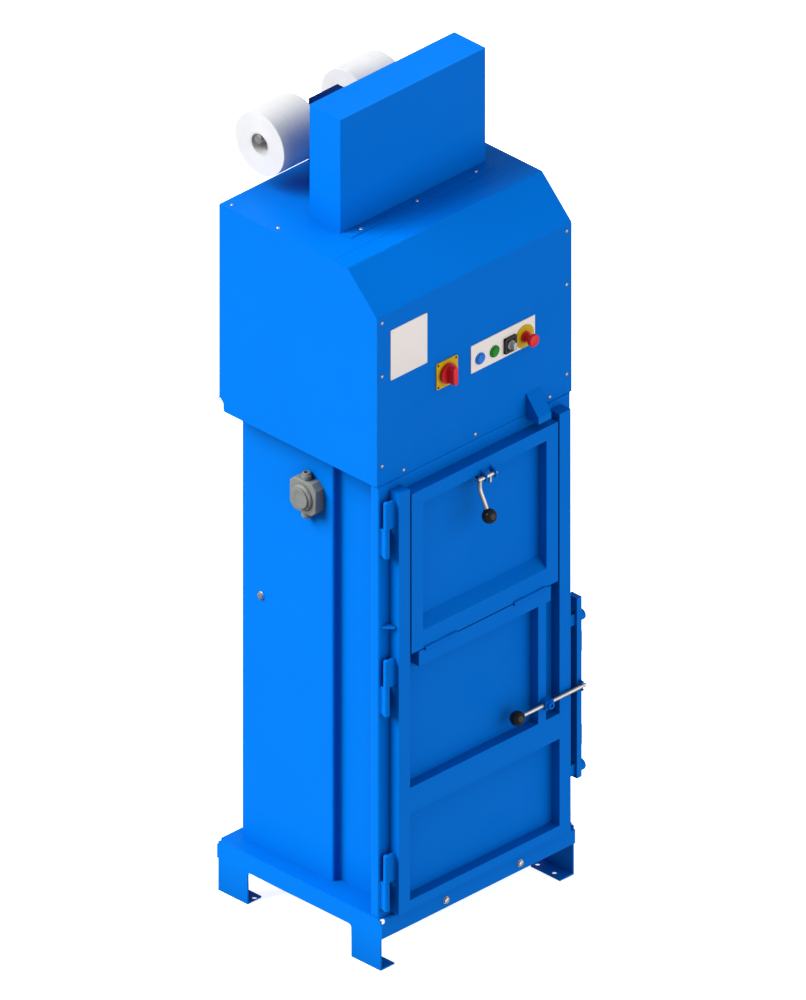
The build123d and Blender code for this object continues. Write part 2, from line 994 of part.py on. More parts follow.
# Hatch hinge rail: bar below the hatch with the fixed knuckles and pins of its two hinges
hinge_rail_half = stile_inner - hinge_rail_end_gap
hatch_axis = (door_front, hatch_axis_z)
hatch_hinge_x = hinge_rail_half - hatch_hinge_inset
hatch_hinge_centers = (-hatch_hinge_x, hatch_hinge_x)
fixed_knuckle = (hatch_hinge_length - hatch_knuckle_length) / 2 - running_gap
knuckle_notch_diameter = hatch_knuckle_diameter + 2 * knuckle_gap
with BuildPart() as hatch_hinge_rail:
    extrude(
        plate_section(
            Plane.YZ.offset(-hinge_rail_half),
            (door_front, hinge_rail_top - hinge_rail_height),
            (door_front + rail_depth, hinge_rail_top),
        ),
        amount=2 * hinge_rail_half,
    )
    for x in hatch_hinge_centers:
        hinge_start = x - hatch_hinge_length / 2
        hinge_end = x + hatch_hinge_length / 2
        extrude(
            disc_section(
                Plane.YZ.offset(x - hatch_knuckle_length / 2 - running_gap),
                [hatch_axis],
                knuckle_notch_diameter,
            ),
            amount=hatch_knuckle_length + 2 * running_gap,
            mode=Mode.SUBTRACT,
        )
        for knuckle_start in (hinge_start, hinge_end - fixed_knuckle):
            extrude(
                disc_section(Plane.YZ.offset(knuckle_start), [hatch_axis], hatch_knuckle_diameter),
                amount=fixed_knuckle,
            )
        extrude(
            disc_section(Plane.YZ.offset(hinge_start), [hatch_axis], hatch_pin_diameter),
            amount=hatch_hinge_length,
        )
write(hatch_hinge_rail, "hatch_hinge_rail")

# Hatch frame: folded channels with a sloped sill, the moving hinge knuckles and the latch lugs
hatch_inner = half_hatch - hatch_stile_width
lug_starts = (
    latch_finger_left - latch_lug_gap - latch_lug_thickness,
    latch_finger_left + latch_finger_thickness + latch_lug_gap,
)
with BuildPart() as hatch_frame:
    with BuildSketch(Plane.XZ.offset(-door_front)):
        with Locations((0, hatch_bottom + hatch_height / 2)):
            Rectangle(2 * half_hatch, hatch_height)
        window_bottom = hatch_bottom + hatch_sill_height
        window_top = hatch_top - hatch_top_rail_height
        with Locations((0, (window_bottom + window_top) / 2)):
            Rectangle(2 * hatch_inner, window_top - window_bottom, mode=Mode.SUBTRACT)
    extrude(amount=-rail_depth)
    offset(amount=-hatch_wall, openings=hatch_frame.faces().sort_by(Axis.Y)[-1])
    with BuildSketch(Plane.YZ.offset(-hatch_inner)):
        with BuildLine():
            Polyline(
                (door_front, window_bottom),
                (door_front + rail_depth, window_bottom),
                (door_front + rail_depth, window_bottom + hatch_sill_slope_height),
                close=True,
            )
        make_face()
    extrude(amount=2 * hatch_inner)
    for x in hatch_hinge_centers:
        for knuckle_start in (x - hatch_hinge_length / 2, x + hatch_hinge_length / 2 - fixed_knuckle):
            extrude(
                disc_section(
                    Plane.YZ.offset(knuckle_start - running_gap),
                    [hatch_axis],
                    knuckle_notch_diameter,
                ),
                amount=fixed_knuckle + 2 * running_gap,
                mode=Mode.SUBTRACT,
            )
        knuckle_plane = Plane.YZ.offset(x - hatch_knuckle_length / 2)
        extrude(
            disc_section(knuckle_plane, [hatch_axis], hatch_knuckle_diameter),
            amount=hatch_knuckle_length,
        )
        extrude(
            disc_section(knuckle_plane, [hatch_axis], hatch_pin_diameter + 2 * running_gap),
            amount=hatch_knuckle_length,
            mode=Mode.SUBTRACT,
        )
    for start in lug_starts:
        with BuildSketch(Plane.YZ.offset(start)):
            with BuildLine():
                Polyline(
                    (door_front, latch_z + latch_lug_height),
                    (door_front, latch_z - latch_lug_edge),
                    (latch_y - latch_lug_edge, latch_z - latch_lug_edge),
                    (latch_y - latch_lug_edge, latch_z + latch_lug_edge),
                    close=True,
                )
            make_face()
            with Locations((latch_y, latch_z)):
                Circle(latch_rod_diameter / 2 + running_gap, mode=Mode.SUBTRACT)
        extrude(amount=latch_lug_thickness)
write(hatch_frame, "hatch_frame")

# Hatch panel with the slot that the latch finger passes through
with BuildPart() as hatch_panel:
    panel_plane = Plane.XZ.offset(-door_back)
    extrude(
        plate_section(panel_plane, (-half_hatch, hatch_bottom), (half_hatch, hatch_top)), amount=panel_sheet
    )
    extrude(
        plate_section(
            panel_plane,
            (latch_finger_left - latch_slot_margin, latch_z - latch_slot_drop),
            (latch_finger_left + latch_finger_thickness + latch_slot_margin, window_top),
        ),
        amount=panel_sheet,
        mode=Mode.SUBTRACT,
    )
write(hatch_panel, "hatch_panel")

# Hatch lever: turning shaft, bent arm and the finger that hooks behind the lintel
ball_y = latch_y - latch_ball_out
latch_ball_z = latch_z - latch_ball_drop
with BuildPart() as hatch_lever:
    shaft_left = latch_arm_x - latch_rod_diameter / 2 - latch_shaft_stub
    extrude(
        disc_section(Plane.YZ.offset(shaft_left), [(latch_y, latch_z)], latch_rod_diameter),
        amount=latch_arm_x + latch_shaft_reach - shaft_left,
    )
    with BuildLine(Plane.YZ.offset(latch_arm_x)) as arm_path:
        FilletPolyline(
            (latch_y, latch_z),
            (latch_y, latch_z - latch_arm_drop),
            (ball_y, latch_ball_z),
            radius=latch_arm_bend,
        )
    with BuildSketch(Plane.XY.offset(latch_z)):
        with Locations((latch_arm_x, latch_y)):
            Circle(latch_rod_diameter / 2)
    sweep(path=arm_path.line)
    with BuildSketch(Plane.YZ.offset(latch_finger_left)):
        hook_back = latch_y + latch_hook_start + latch_hook_length
        neck_top = latch_z - latch_neck_drop
        neck_bottom = neck_top - latch_neck_height
        with BuildLine():
            Polyline(
                (latch_y - latch_rod_diameter / 2, latch_z),
                (latch_y + latch_rod_diameter / 2, latch_z),
                (latch_y + latch_rod_diameter, neck_top),
                (latch_y + latch_hook_start, neck_top),
                (latch_y + latch_hook_start, latch_z + latch_hook_rise),
                (hook_back, latch_z + latch_hook_rise),
                (hook_back, neck_bottom),
                (latch_y - latch_rod_diameter / 2, neck_bottom),
                close=True,
            )
        make_face()
    extrude(amount=latch_finger_thickness)
    arm_length = sqrt(latch_ball_out**2 + (latch_ball_drop - latch_arm_drop) ** 2)
    arm_direction = (0, -latch_ball_out / arm_length, -(latch_ball_drop - latch_arm_drop) / arm_length)
    socket_floor = ball_radius - ball_socket_depth
    socket_plane = Plane(
        origin=(
            latch_arm_x,
            ball_y - arm_direction[1] * socket_floor,
            latch_ball_z - arm_direction[2] * socket_floor,
        ),
        x_dir=(1, 0, 0),
        z_dir=arm_direction,
    )
    split(bisect_by=socket_plane, keep=Keep.BOTTOM)
write(hatch_lever, "hatch_lever")

with BuildPart() as hatch_lever_ball:
    with Locations((latch_arm_x, ball_y, latch_ball_z)):
        Sphere(ball_radius)
    with BuildSketch(socket_plane):
        Circle(latch_rod_diameter / 2 + socket_gap)
    extrude(amount=-ball_diameter, mode=Mode.SUBTRACT)
write(hatch_lever_ball, "hatch_lever_ball")

# Lock bar: slotted flat bar beside the door with two pegs for the lever
with BuildPart() as lock_bar:
    extrude(
        plate_section(
            Plane.YZ.offset(lock_bar_left),
            (door_front, lock_bar_bottom),
            (door_back, lock_bar_bottom + lock_bar_length),
        ),
        amount=lock_bar_width,
    )
    with BuildSketch(Plane.YZ.offset(lock_bar_left)):
        with Locations(*[(stile_y, z + lock_travel / 2) for z in lock_guide_heights]):
            SlotCenterToCenter(lock_travel, lock_screw_diameter + 2 * lock_slot_gap, rotation=90)
    extrude(amount=lock_bar_width, mode=Mode.SUBTRACT)
    peg_offset = (lock_rod_diameter + lock_peg_diameter) / 2 + lock_peg_gap
    extrude(
        disc_section(
            Plane.XZ.offset(-door_front),
            [(lock_bar_x, lock_z - peg_offset), (lock_bar_x, lock_z + peg_offset)],
            lock_peg_diameter,
        ),
        amount=lock_peg_length,
    )
write(lock_bar, "lock_bar")

# Lock claws: notched plates on the bar that close over the studs of the post
claw_front = door_back - claw_overlap
claw_notch = keeper_diameter + 2 * claw_notch_gap
claw_back = keeper_y + claw_notch / 2 + claw_jaw
with BuildPart() as lock_claws:
    for keeper_z in keeper_heights:
        jaw_tip = keeper_z + keeper_diameter / 2 + claw_lift
        notch_top = jaw_tip + lock_travel
        with BuildSketch(Plane.YZ.offset(lock_bar_right)):
            with BuildLine():
                Polyline(
                    (claw_front, jaw_tip),
                    (keeper_y - claw_notch / 2, jaw_tip),
                    (keeper_y - claw_notch / 2, notch_top),
                    (keeper_y + claw_notch / 2, notch_top),
                    (keeper_y + claw_notch / 2, jaw_tip),
                    (claw_back, jaw_tip),
                    (claw_back, notch_top + claw_bridge_height),
                    (claw_front, notch_top + claw_bridge_height),
                    close=True,
                )
            make_face()
        extrude(amount=claw_thickness)
write(lock_claws, "lock_claws")

# Lock screws: shoulder screws that guide the bar, and the pivot bolt of the lever
with BuildPart() as lock_screws:
    screw_places = [(stile_y, z) for z in lock_guide_heights]
    extrude(
        disc_section(Plane.YZ.offset(lock_bar_left - running_gap), screw_places, lock_screw_diameter),
        amount=lock_bar_width + 2 * running_gap,
    )
    extrude(
        disc_section(Plane.YZ.offset(lock_bar_right + running_gap), screw_places, lock_screw_head_diameter),
        amount=lock_screw_head_height,
    )
    extrude(
        disc_section(Plane.XZ.offset(-door_front), [(lock_hub_x, lock_z)], lock_pivot_diameter),
        amount=lock_hub_depth + 2 * running_gap,
    )
    extrude(
        disc_section(
            Plane.XZ.offset(-door_front + lock_hub_depth + 2 * running_gap),
            [(lock_hub_x, lock_z)],
            lock_pivot_head_diameter,
        ),
        amount=lock_pivot_head_height,
    )
write(lock_screws, "lock_screws")

# Lock lever: hub on the pivot bolt, a rod to each side and a ball at the left end
hub_left = lock_hub_x - lock_hub_width / 2
hub_right = lock_hub_x + lock_hub_width / 2
with BuildPart() as lock_hub:
    hub_plane = Plane.XZ.offset(-door_front + running_gap)
    extrude(
        plate_section(
            hub_plane,
            (hub_left, lock_z - lock_hub_height / 2),
            (hub_right, lock_z + lock_hub_height / 2),
        ),
        amount=lock_hub_depth,
    )
    fillet(lock_hub.edges().filter_by(Axis.Y), lock_hub_edge)
    extrude(
        disc_section(hub_plane, [(lock_hub_x, lock_z)], lock_pivot_diameter + 2 * running_gap),
        amount=lock_hub_depth,
        mode=Mode.SUBTRACT,
    )
write(lock_hub, "lock_hub")

rod_left = lock_ball_x + ball_radius - ball_socket_depth
with BuildPart() as lock_lever:
    extrude(
        disc_section(Plane.YZ.offset(rod_left), [(lock_rod_y, lock_z)], lock_rod_diameter),
        amount=hub_left - rod_left,
    )
    extrude(
        disc_section(Plane.YZ.offset(hub_right), [(lock_rod_y, lock_z)], lock_rod_diameter),
        amount=lock_rod_end - hub_right,
    )
write(lock_lever, "lock_lever")

with BuildPart() as lock_lever_ball:
    with BuildSketch(Plane.XZ.offset(-lock_rod_y)):
        with Locations((lock_ball_x, lock_z)):
            Circle(ball_radius)
            Rectangle(ball_diameter, ball_radius, align=(Align.CENTER, Align.MAX), mode=Mode.SUBTRACT)
        with Locations((rod_left, lock_z)):
            socket_radius = lock_rod_diameter / 2 + socket_gap
            Rectangle(ball_diameter, socket_radius, align=(Align.MIN, Align.MIN), mode=Mode.SUBTRACT)
    revolve(axis=Axis((lock_ball_x, lock_rod_y, lock_z), (1, 0, 0)))
write(lock_lever_ball, "lock_lever_ball")

# Frame bolts on the base and walls
with BuildPart() as frame_bolts:
    extrude(
        disc_section(
            Plane.XZ.offset(tray_front),
            [(x, base_bolt_height) for x in base_bolt_places],
            bolt_head_diameter,
        ),
        amount=bolt_head_height,
    )
    for wall_face, reach in ((rear_wall_x, bolt_head_height), (-rear_wall_x, -bolt_head_height)):
        extrude(
            disc_section(Plane.YZ.offset(wall_face), [(wall_bolt_y, wall_bolt_z)], bolt_head_diameter),
            amount=reach,
        )
    head_rims = frame_bolts.edges().filter_by(GeomType.CIRCLE)
    base_rims = head_rims.group_by(Axis.Y)[0]
    wall_rims = head_rims.group_by(Axis.X)[0] + head_rims.group_by(Axis.X)[-1]
    chamfer(base_rims + wall_rims, bolt_head_edge)
write(frame_bolts, "frame_bolts")

# Keeper studs on the right post that the lock claws close on
with BuildPart() as keeper_studs:
    extrude(
        disc_section(Plane.YZ.offset(post_outer), [(keeper_y, z) for z in keeper_heights], keeper_diameter),
        amount=keeper_length,
    )
    stud_rims = keeper_studs.edges().filter_by(GeomType.CIRCLE)
    chamfer(stud_rims.group_by(Axis.X)[-1], bolt_head_edge)
write(keeper_studs, "keeper_studs")

# Control plate with the holes for its four controls
with BuildPart() as control_plate:
    plate_plane = Plane.XZ.offset(-hood_front)
    extrude(
        plate_section(
            plate_plane,
            (control_plate_left, control_plate_bottom),
            (control_plate_left + control_plate_width, control_plate_bottom + control_plate_height),
        ),
        amount=control_plate_sheet,
    )
    extrude(
        disc_section(plate_plane, stem_places, control_hole_diameter),
        amount=control_plate_sheet,
        mode=Mode.SUBTRACT,
    )
write(control_plate, "control_plate")

# Control bezels: two round rings for the buttons and a square frame for the selector
cap_diameter = bezel_diameter - 2 * bezel_wall - 2 * running_gap
face_plane = Plane.XZ.offset(-control_face)
ring_places = [(blue_button_x, control_z), (green_button_x, control_z)]
with BuildPart() as control_bezels:
    extrude(disc_section(face_plane, ring_places, bezel_diameter), amount=bezel_height)
    with BuildSketch(face_plane):
        with Locations((selector_x, control_z)):
            RectangleRounded(selector_bezel_width, selector_bezel_height, selector_bezel_edge)
    extrude(amount=selector_bezel_depth)
    extrude(
        disc_section(face_plane, ring_places + [(selector_x, control_z)], bezel_diameter - 2 * bezel_wall),
        amount=selector_bezel_depth,
        mode=Mode.SUBTRACT,
    )
write(control_bezels, "control_bezels")

# Push buttons: caps that slide in their rings, with a stem into the contact block
button_back_gap = button_travel + button_stop_gap
cap_back = -control_face + button_back_gap
for name, x in (("blue_button", blue_button_x), ("green_button", green_button_x)):
    with BuildPart() as button:
        extrude(
            disc_section(Plane.XZ.offset(cap_back), [(x, control_z)], cap_diameter),
            amount=bezel_height + button_proud - button_back_gap,
        )
        fillet(button.faces().sort_by(Axis.Y)[0].edges(), button_edge)
        extrude(
            disc_section(Plane.XZ.offset(cap_back), [(x, control_z)], stem_diameter),
            amount=-stem_length,
        )
    write(button, name)

# Selector: disc in the square frame with a raised lever and a stem
with BuildPart() as selector_knob:
    extrude(
        disc_section(Plane.XZ.offset(cap_back), [(selector_x, control_z)], cap_diameter),
        amount=selector_bezel_depth - button_back_gap,
    )
    with BuildSketch(Plane.XZ.offset(-control_face + selector_bezel_depth)):
        with Locations((selector_x, control_z)):
            SlotOverall(cap_diameter - 2 * selector_lever_inset, selector_lever_width, rotation=90)
    extrude(amount=selector_lever_reach)
    extrude(
        disc_section(Plane.XZ.offset(cap_back), [(selector_x, control_z)], stem_diameter),
        amount=-stem_length,
    )
write(selector_knob, "selector_knob")

# Emergency stop: disc and collar on the plate, mushroom with neck and stem
neck_diameter = estop_collar_diameter - 2 * bezel_wall
estop_place = [(estop_x, control_z)]
collar_front = -control_face + estop_disc_sheet + estop_collar_height
with BuildPart() as estop_collar:
    extrude(disc_section(face_plane, estop_place, estop_disc_diameter), amount=estop_disc_sheet)
    extrude(
        disc_section(face_plane, estop_place, estop_collar_diameter),
        amount=estop_disc_sheet + estop_collar_height,
    )
    extrude(
        disc_section(face_plane, estop_place, neck_diameter),
        amount=estop_disc_sheet + estop_collar_height,
        mode=Mode.SUBTRACT,
    )
write(estop_collar, "estop_collar")

with BuildPart() as estop_button:
    head_back = collar_front + estop_neck_reach
    neck_back = -control_face + estop_travel + running_gap
    extrude(
        disc_section(Plane.XZ.offset(neck_back), estop_place, neck_diameter - 2 * running_gap),
        amount=head_back - neck_back,
    )
    extrude(
        disc_section(Plane.XZ.offset(head_back), estop_place, estop_head_diameter),
        amount=estop_head_height,
    )
    fillet(estop_button.faces().sort_by(Axis.Y)[0].edges(), estop_head_edge)
    extrude(disc_section(Plane.XZ.offset(neck_back), estop_place, stem_diameter), amount=-stem_length)
write(estop_button, "estop_button")

# Main switch: square plate and a turning knob with a grip bar
switch_face = -hood_front + switch_plate_sheet
with BuildPart() as main_switch_plate:
    with BuildSketch(plate_plane):
        with Locations((switch_x, switch_z)):
            RectangleRounded(switch_plate_width, switch_plate_width, switch_plate_corner)
            Circle(control_hole_diameter / 2, mode=Mode.SUBTRACT)
    extrude(amount=switch_plate_sheet)
write(main_switch_plate, "main_switch_plate")

with BuildPart() as main_switch_knob:
    knob_plane = Plane.XZ.offset(switch_face + running_gap)
    extrude(disc_section(knob_plane, [(switch_x, switch_z)], switch_knob_diameter), amount=switch_knob_disc)
    with BuildSketch(Plane.XZ.offset(switch_face + running_gap + switch_knob_disc)):
        with Locations((switch_x, switch_z)):
            SlotOverall(switch_knob_diameter - 2 * switch_handle_inset, switch_handle_width, rotation=90)
    extrude(amount=switch_handle_proud)
    fillet(main_switch_knob.faces().sort_by(Axis.Y)[0].edges(), switch_handle_edge)
    extrude(disc_section(knob_plane, [(switch_x, switch_z)], stem_diameter), amount=-stem_length)
write(main_switch_knob, "main_switch_knob")

# Contact blocks behind the hood front, which guide the stems
with BuildPart() as contact_blocks:
    block_plane = Plane.XZ.offset(-hood_inner_front)
    block_places = stem_places + [(switch_x, switch_z)]
    with BuildSketch(block_plane):
        with Locations(*block_places):
            Rectangle(contact_block_width, contact_block_width)
            Circle(stem_diameter / 2 + running_gap, mode=Mode.SUBTRACT)
    extrude(amount=-contact_block_depth)
write(contact_blocks, "contact_blocks")

# Junction box: eight-sided casting with a domed front, a round lid and a cable entry above and below
with BuildPart() as junction_box:
    with BuildSketch(Plane.YZ.offset(-rear_wall_x)) as box_outline:
        with Locations((junction_y, junction_z)):
            Rectangle(junction_width, junction_width)
        chamfer(box_outline.vertices(), junction_corner)
    extrude(amount=-junction_depth)
    dome_back = -rear_wall_x - junction_depth
    lid_back = dome_back - junction_dome_height
    lid_place = [(junction_y, junction_z)]
    extrude(
        disc_section(Plane.YZ.offset(dome_back), lid_place, junction_dome_diameter),
        amount=-junction_dome_height,
    )
    chamfer(junction_box.faces().sort_by(Axis.X)[0].edges(), junction_dome_edge)
    extrude(
        disc_section(Plane.YZ.offset(lid_back), lid_place, junction_lid_diameter),
        amount=-junction_lid_height,
    )
    port_place = [(-rear_wall_x - junction_depth / 2, junction_y)]
    port_span = junction_width + 2 * junction_port_reach
    extrude(
        disc_section(Plane.XY.offset(junction_z - port_span / 2), port_place, junction_port_diameter),
        amount=port_span,
    )
write(junction_box, "junction_box")
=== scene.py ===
"""Dressing of an upright waste compactor: finishes, fasteners, welds, strap rolls, knobs and studio.

Sizes are millimetres in the row frame: X to the right, Y to the back and Z up, with the door facing -Y.
"""
from __future__ import annotations

import json
import logging
import math
from dataclasses import dataclass, field
from enum import Enum
from typing import Sequence

import bmesh
import bpy
from mathutils import Matrix, Vector

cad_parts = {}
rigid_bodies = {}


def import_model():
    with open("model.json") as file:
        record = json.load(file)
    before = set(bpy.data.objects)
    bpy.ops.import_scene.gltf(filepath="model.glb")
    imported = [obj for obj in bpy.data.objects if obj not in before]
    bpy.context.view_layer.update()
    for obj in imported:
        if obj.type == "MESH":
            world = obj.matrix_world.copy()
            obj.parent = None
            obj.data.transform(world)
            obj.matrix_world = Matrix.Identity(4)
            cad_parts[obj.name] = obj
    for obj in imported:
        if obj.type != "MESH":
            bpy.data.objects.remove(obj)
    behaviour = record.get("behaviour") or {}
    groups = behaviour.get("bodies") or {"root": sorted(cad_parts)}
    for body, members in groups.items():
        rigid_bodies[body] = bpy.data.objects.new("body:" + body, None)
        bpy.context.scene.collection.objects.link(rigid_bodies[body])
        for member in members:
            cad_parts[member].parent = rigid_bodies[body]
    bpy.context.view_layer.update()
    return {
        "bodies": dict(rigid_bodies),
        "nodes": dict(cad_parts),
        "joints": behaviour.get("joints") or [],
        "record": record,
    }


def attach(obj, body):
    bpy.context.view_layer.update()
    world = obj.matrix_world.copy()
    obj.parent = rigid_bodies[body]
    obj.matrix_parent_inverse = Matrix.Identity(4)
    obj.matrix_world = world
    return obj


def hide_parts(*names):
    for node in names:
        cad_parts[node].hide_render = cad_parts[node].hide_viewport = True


MM = 0.001
MERGE_DISTANCE = 0.0005
WELD_CREASE = 60.0
WHITE = (1.0, 1.0, 1.0, 1.0)
Point = tuple[float, float, float]
Tone = tuple[float, float, float]
Pair = tuple[float, float]
Values = tuple[float, ...]
Profile = Sequence[Pair]
Outline = list[Pair]
Socket = bpy.types.NodeSocket
Shape = bmesh.types.BMesh

log = logging.getLogger("compactor")


class Body(Enum):
    """Bodies of the machine that new pieces ride on."""

    FRAME = "frame"
    DOOR = "main_door"
    HATCH = "hatch"
    HATCH_HANDLE = "hatch_handle"
    LOCK_HANDLE = "lock_handle"
    LEFT_REEL = "strap_reel_left"
    RIGHT_REEL = "strap_reel_right"
    BLUE_BUTTON = "push_blue"
    GREEN_BUTTON = "push_green"
    STOP_BUTTON = "stop_button"


class Slot(Enum):
    """Material slots of the record."""

    BLUE_PAINT = "blue_paint"
    NAVY_PAINT = "navy_paint"
    GREY_PAINT = "grey_paint"
    PLATE_WHITE = "plate_white"
    ZINC_STEEL = "zinc_steel"
    ROD_CHROME = "rod_chrome"
    CAST_ALUMINIUM = "cast_aluminium"
    BLACK_PLASTIC = "black_plastic"
    DARK_PLASTIC = "dark_plastic"
    TANK_PLASTIC = "tank_plastic"
    BOX_GREY = "box_grey"
    STRAP_WHITE = "strap_white"
    BLUE_PLASTIC = "blue_plastic"
    GREEN_PLASTIC = "green_plastic"
    GREY_PLASTIC = "grey_plastic"
    RED_PLASTIC = "red_plastic"
    YELLOW_PLASTIC = "yellow_plastic"


class Facing(Enum):
    """Directions that a turned or flat piece can face."""

    LEFT = (-1.0, 0.0, 0.0)
    RIGHT = (1.0, 0.0, 0.0)
    FRONT = (0.0, -1.0, 0.0)
    BACK = (0.0, 1.0, 0.0)
    UP = (0.0, 0.0, 1.0)
    DOWN = (0.0, 0.0, -1.0)


class Shader:
    """Node tree of one material, with short calls for the nodes that the finishes share."""

    # Noise gathers round its middle, so only this part of it is spread out.
    noise_span: Pair = (0.3, 0.7)
    ramp_ends: Pair = (0.32, 0.68)
    # Samples of the painted shade in corners.
    shade_samples: int = 4

    def __init__(self, name: str) -> None:
        """Start a material that holds one surface shader.

        Args:
            name: Name of the material.
        """
        self.material = bpy.data.materials.new(name)
        self.material.use_nodes = True
        self.tree = self.material.node_tree
        self.surface = self.tree.nodes["Principled BSDF"]
        self.coords = self.tree.nodes.new("ShaderNodeTexCoord").outputs["Object"]

    def set(self, **values: float | Values) -> None:
        """Set constants on the surface shader's own sockets.

        Args:
            values: Socket names with underscores in place of spaces, and their values.
        """
        for name, value in values.items():
            self.surface.inputs[name.replace("_", " ")].default_value = value

    def link(self, output: Socket, socket: Socket) -> None:
        """Join an output to an input socket.

        Args:
            output: Socket that gives the value.
            socket: Socket that takes it.
        """
        self.tree.links.new(output, socket)

    def stretched(self, scale: Point) -> Socket:
        """Object coordinates stretched along their axes.

        Args:
            scale: Factors along X, Y and Z.

        Returns:
            The stretched vector.
        """
        mapping = self.tree.nodes.new("ShaderNodeMapping")
        mapping.inputs["Scale"].default_value = scale
        self.link(self.coords, mapping.inputs["Vector"])
        return mapping.outputs["Vector"]

    def noise(self, scale: float, detail: float = 3.0, vector: Socket | None = None) -> Socket:
        """Cloudy noise over the piece.

        Args:
            scale: Features to a metre.
            detail: Octaves of finer noise.
            vector: Coordinates, or none for the piece's own.

        Returns:
            The noise factor.
        """
        node = self.tree.nodes.new("ShaderNodeTexNoise")
        node.inputs["Scale"].default_value = scale
        node.inputs["Detail"].default_value = detail
        self.link(vector or self.coords, node.inputs["Vector"])
        return node.outputs["Fac"]

    def bands(self, scale: float, axis: str, distortion: float = 0.0) -> Socket:
        """Regular bands across one axis.

        Args:
            scale: Bands to a metre, roughly.
            axis: X, Y or Z.
            distortion: Waver of the bands.

        Returns:
            The band factor.
        """
        node = self.tree.nodes.new("ShaderNodeTexWave")
        node.bands_direction = axis
        node.inputs["Scale"].default_value = scale
        node.inputs["Distortion"].default_value = distortion
        self.link(self.coords, node.inputs["Vector"])
        return node.outputs["Fac"]

    def range(self, factor: Socket, low: float, high: float) -> Socket:
        """Spread a factor between two values.

        Args:
            factor: Socket that holds the factor.
            low: Value where the factor is weak.
            high: Value where the factor is strong.

        Returns:
            The spread value.
        """
        node = self.tree.nodes.new("ShaderNodeMapRange")
        bottom, top = self.noise_span
        for name, value in (("From Min", bottom), ("From Max", top), ("To Min", low), ("To Max", high)):
            node.inputs[name].default_value = value
        self.link(factor, node.inputs["Value"])
        return node.outputs["Result"]

    def tones(self, factor: Socket, low: Tone, high: Tone) -> Socket:
        """Blend two tones by a factor.

        Args:
            factor: Socket that holds the factor.
            low: Tone where the factor is weak.
            high: Tone where the factor is strong.

        Returns:
            The blended colour.
        """
        ramp = self.tree.nodes.new("ShaderNodeValToRGB")
        for element, position, tone in zip(ramp.color_ramp.elements, self.ramp_ends, (low, high)):
            element.position = position
            element.color = (*tone, 1.0)
        self.link(factor, ramp.inputs["Fac"])
        return ramp.outputs["Color"]

    def clouded(self, tone: Tone, shares: Pair, scale: float, detail: float) -> Socket:
        """Tone that drifts in clouds.

        Args:
            tone: Mean tone.
            shares: Shares of the tone where the clouds are weak and strong.
            scale: Clouds to a metre.
            detail: Octaves of finer noise.

        Returns:
            The drifting colour.
        """
        weak, strong = shares
        return self.tones(self.noise(scale, detail), scaled(tone, weak), scaled(tone, strong))

    def bump(self, height: Socket, strength: float, depth: float) -> Socket:
        """Fine relief from a height.

        Args:
            height: Socket that holds the height.
            strength: Share of the relief that shows.
            depth: Depth of the relief in metres.

        Returns:
            The normal.
        """
        node = self.tree.nodes.new("ShaderNodeBump")
        node.inputs["Strength"].default_value = strength
        node.inputs["Distance"].default_value = depth
        self.link(height, node.inputs["Height"])
        return node.outputs["Normal"]

    def with_painted_shade(self, tone: Socket, reach: float, share: float) -> Socket:
        """Paint shade into a colour in corners and recesses, where near neighbours would shade it.

        Args:
            tone: Socket that holds the colour.
            reach: How far in metres a neighbour casts painted shade on the colour.
            share: Share of the painted shade that shows.

        Returns:
            The colour with painted shade.
        """
        # Painted shade: ambient occlusion darkens the colour near other surfaces.
        corners = self.tree.nodes.new("ShaderNodeAmbientOcclusion")
        corners.samples = self.shade_samples
        corners.inputs["Distance"].default_value = reach
        mix = self.tree.nodes.new("ShaderNodeMix")
        mix.data_type = "RGBA"
        mix.blend_type = "MULTIPLY"
        # The mix node has sockets for each data type, and these are the ones for colours.
        factor, first, second, result = mix.inputs[0], mix.inputs[6], mix.inputs[7], mix.outputs[2]
        factor.default_value = share
        self.link(tone, first)
        self.link(corners.outputs["Color"], second)
        return result

    def finished(self, tone: Socket, gloss: Socket, relief: Socket) -> bpy.types.Material:
        """Join the parts of a finish to the surface shader.

        Args:
            tone: Colour of the finish.
            gloss: Roughness of the finish.
            relief: Normal of the finish.

        Returns:
            The finished material.
        """
        for name, output in (("Base Color", tone), ("Roughness", gloss), ("Normal", relief)):
            self.link(output, self.surface.inputs[name])
        return self.material


def scaled(tone: Tone, share: float) -> Tone:
    """Make a tone lighter or darker.

    Args:
        tone: Tone to change.
        share: Factor of the change.

    Returns:
        The changed tone.
    """
    return (tone[0] * share, tone[1] * share, tone[2] * share)


@dataclass(frozen=True)
class PaintFinish:
    """Powder paint on sheet steel: a slow drift of tone, an orange-peel skin, a soft gloss and painted
    shade in its corners.
    """

    slot: Slot
    tone: Tone
    gloss: Pair = (0.4, 0.52)
    specular: float = 0.2
    gloss_tone: Tone = (1.0, 1.0, 1.0)
    gloss_scale: float = 14.0
    drift_share: float = 0.02
    drift_scale: float = 2.2
    peel_share: float = 0.06
    peel_scale: float = 420.0
    peel_depth: float = 0.0004
    # Painted shade in corners: how far it reaches and how strongly it shows.
    shade_reach: float = 0.1
    shade_share: float = 0.45

    def material(self) -> bpy.types.Material:
        """Build the paint's node material.

        Returns:
            The material.
        """
        shader = Shader(self.slot.value)
        shader.set(Specular_IOR_Level=self.specular, Specular_Tint=(*self.gloss_tone, 1.0))
        shares = (1 - self.drift_share, 1 + self.drift_share)
        tone = shader.clouded(self.tone, shares, self.drift_scale, detail=2.0)
        # Painted shade darkens the paint's colour in corners and recesses.
        tone = shader.with_painted_shade(tone, self.shade_reach, self.shade_share)
        gloss = shader.range(shader.noise(self.gloss_scale, detail=4.0), *self.gloss)
        peel = shader.noise(self.peel_scale, detail=1.5)
        return shader.finished(tone, gloss, shader.bump(peel, self.peel_share, self.peel_depth))


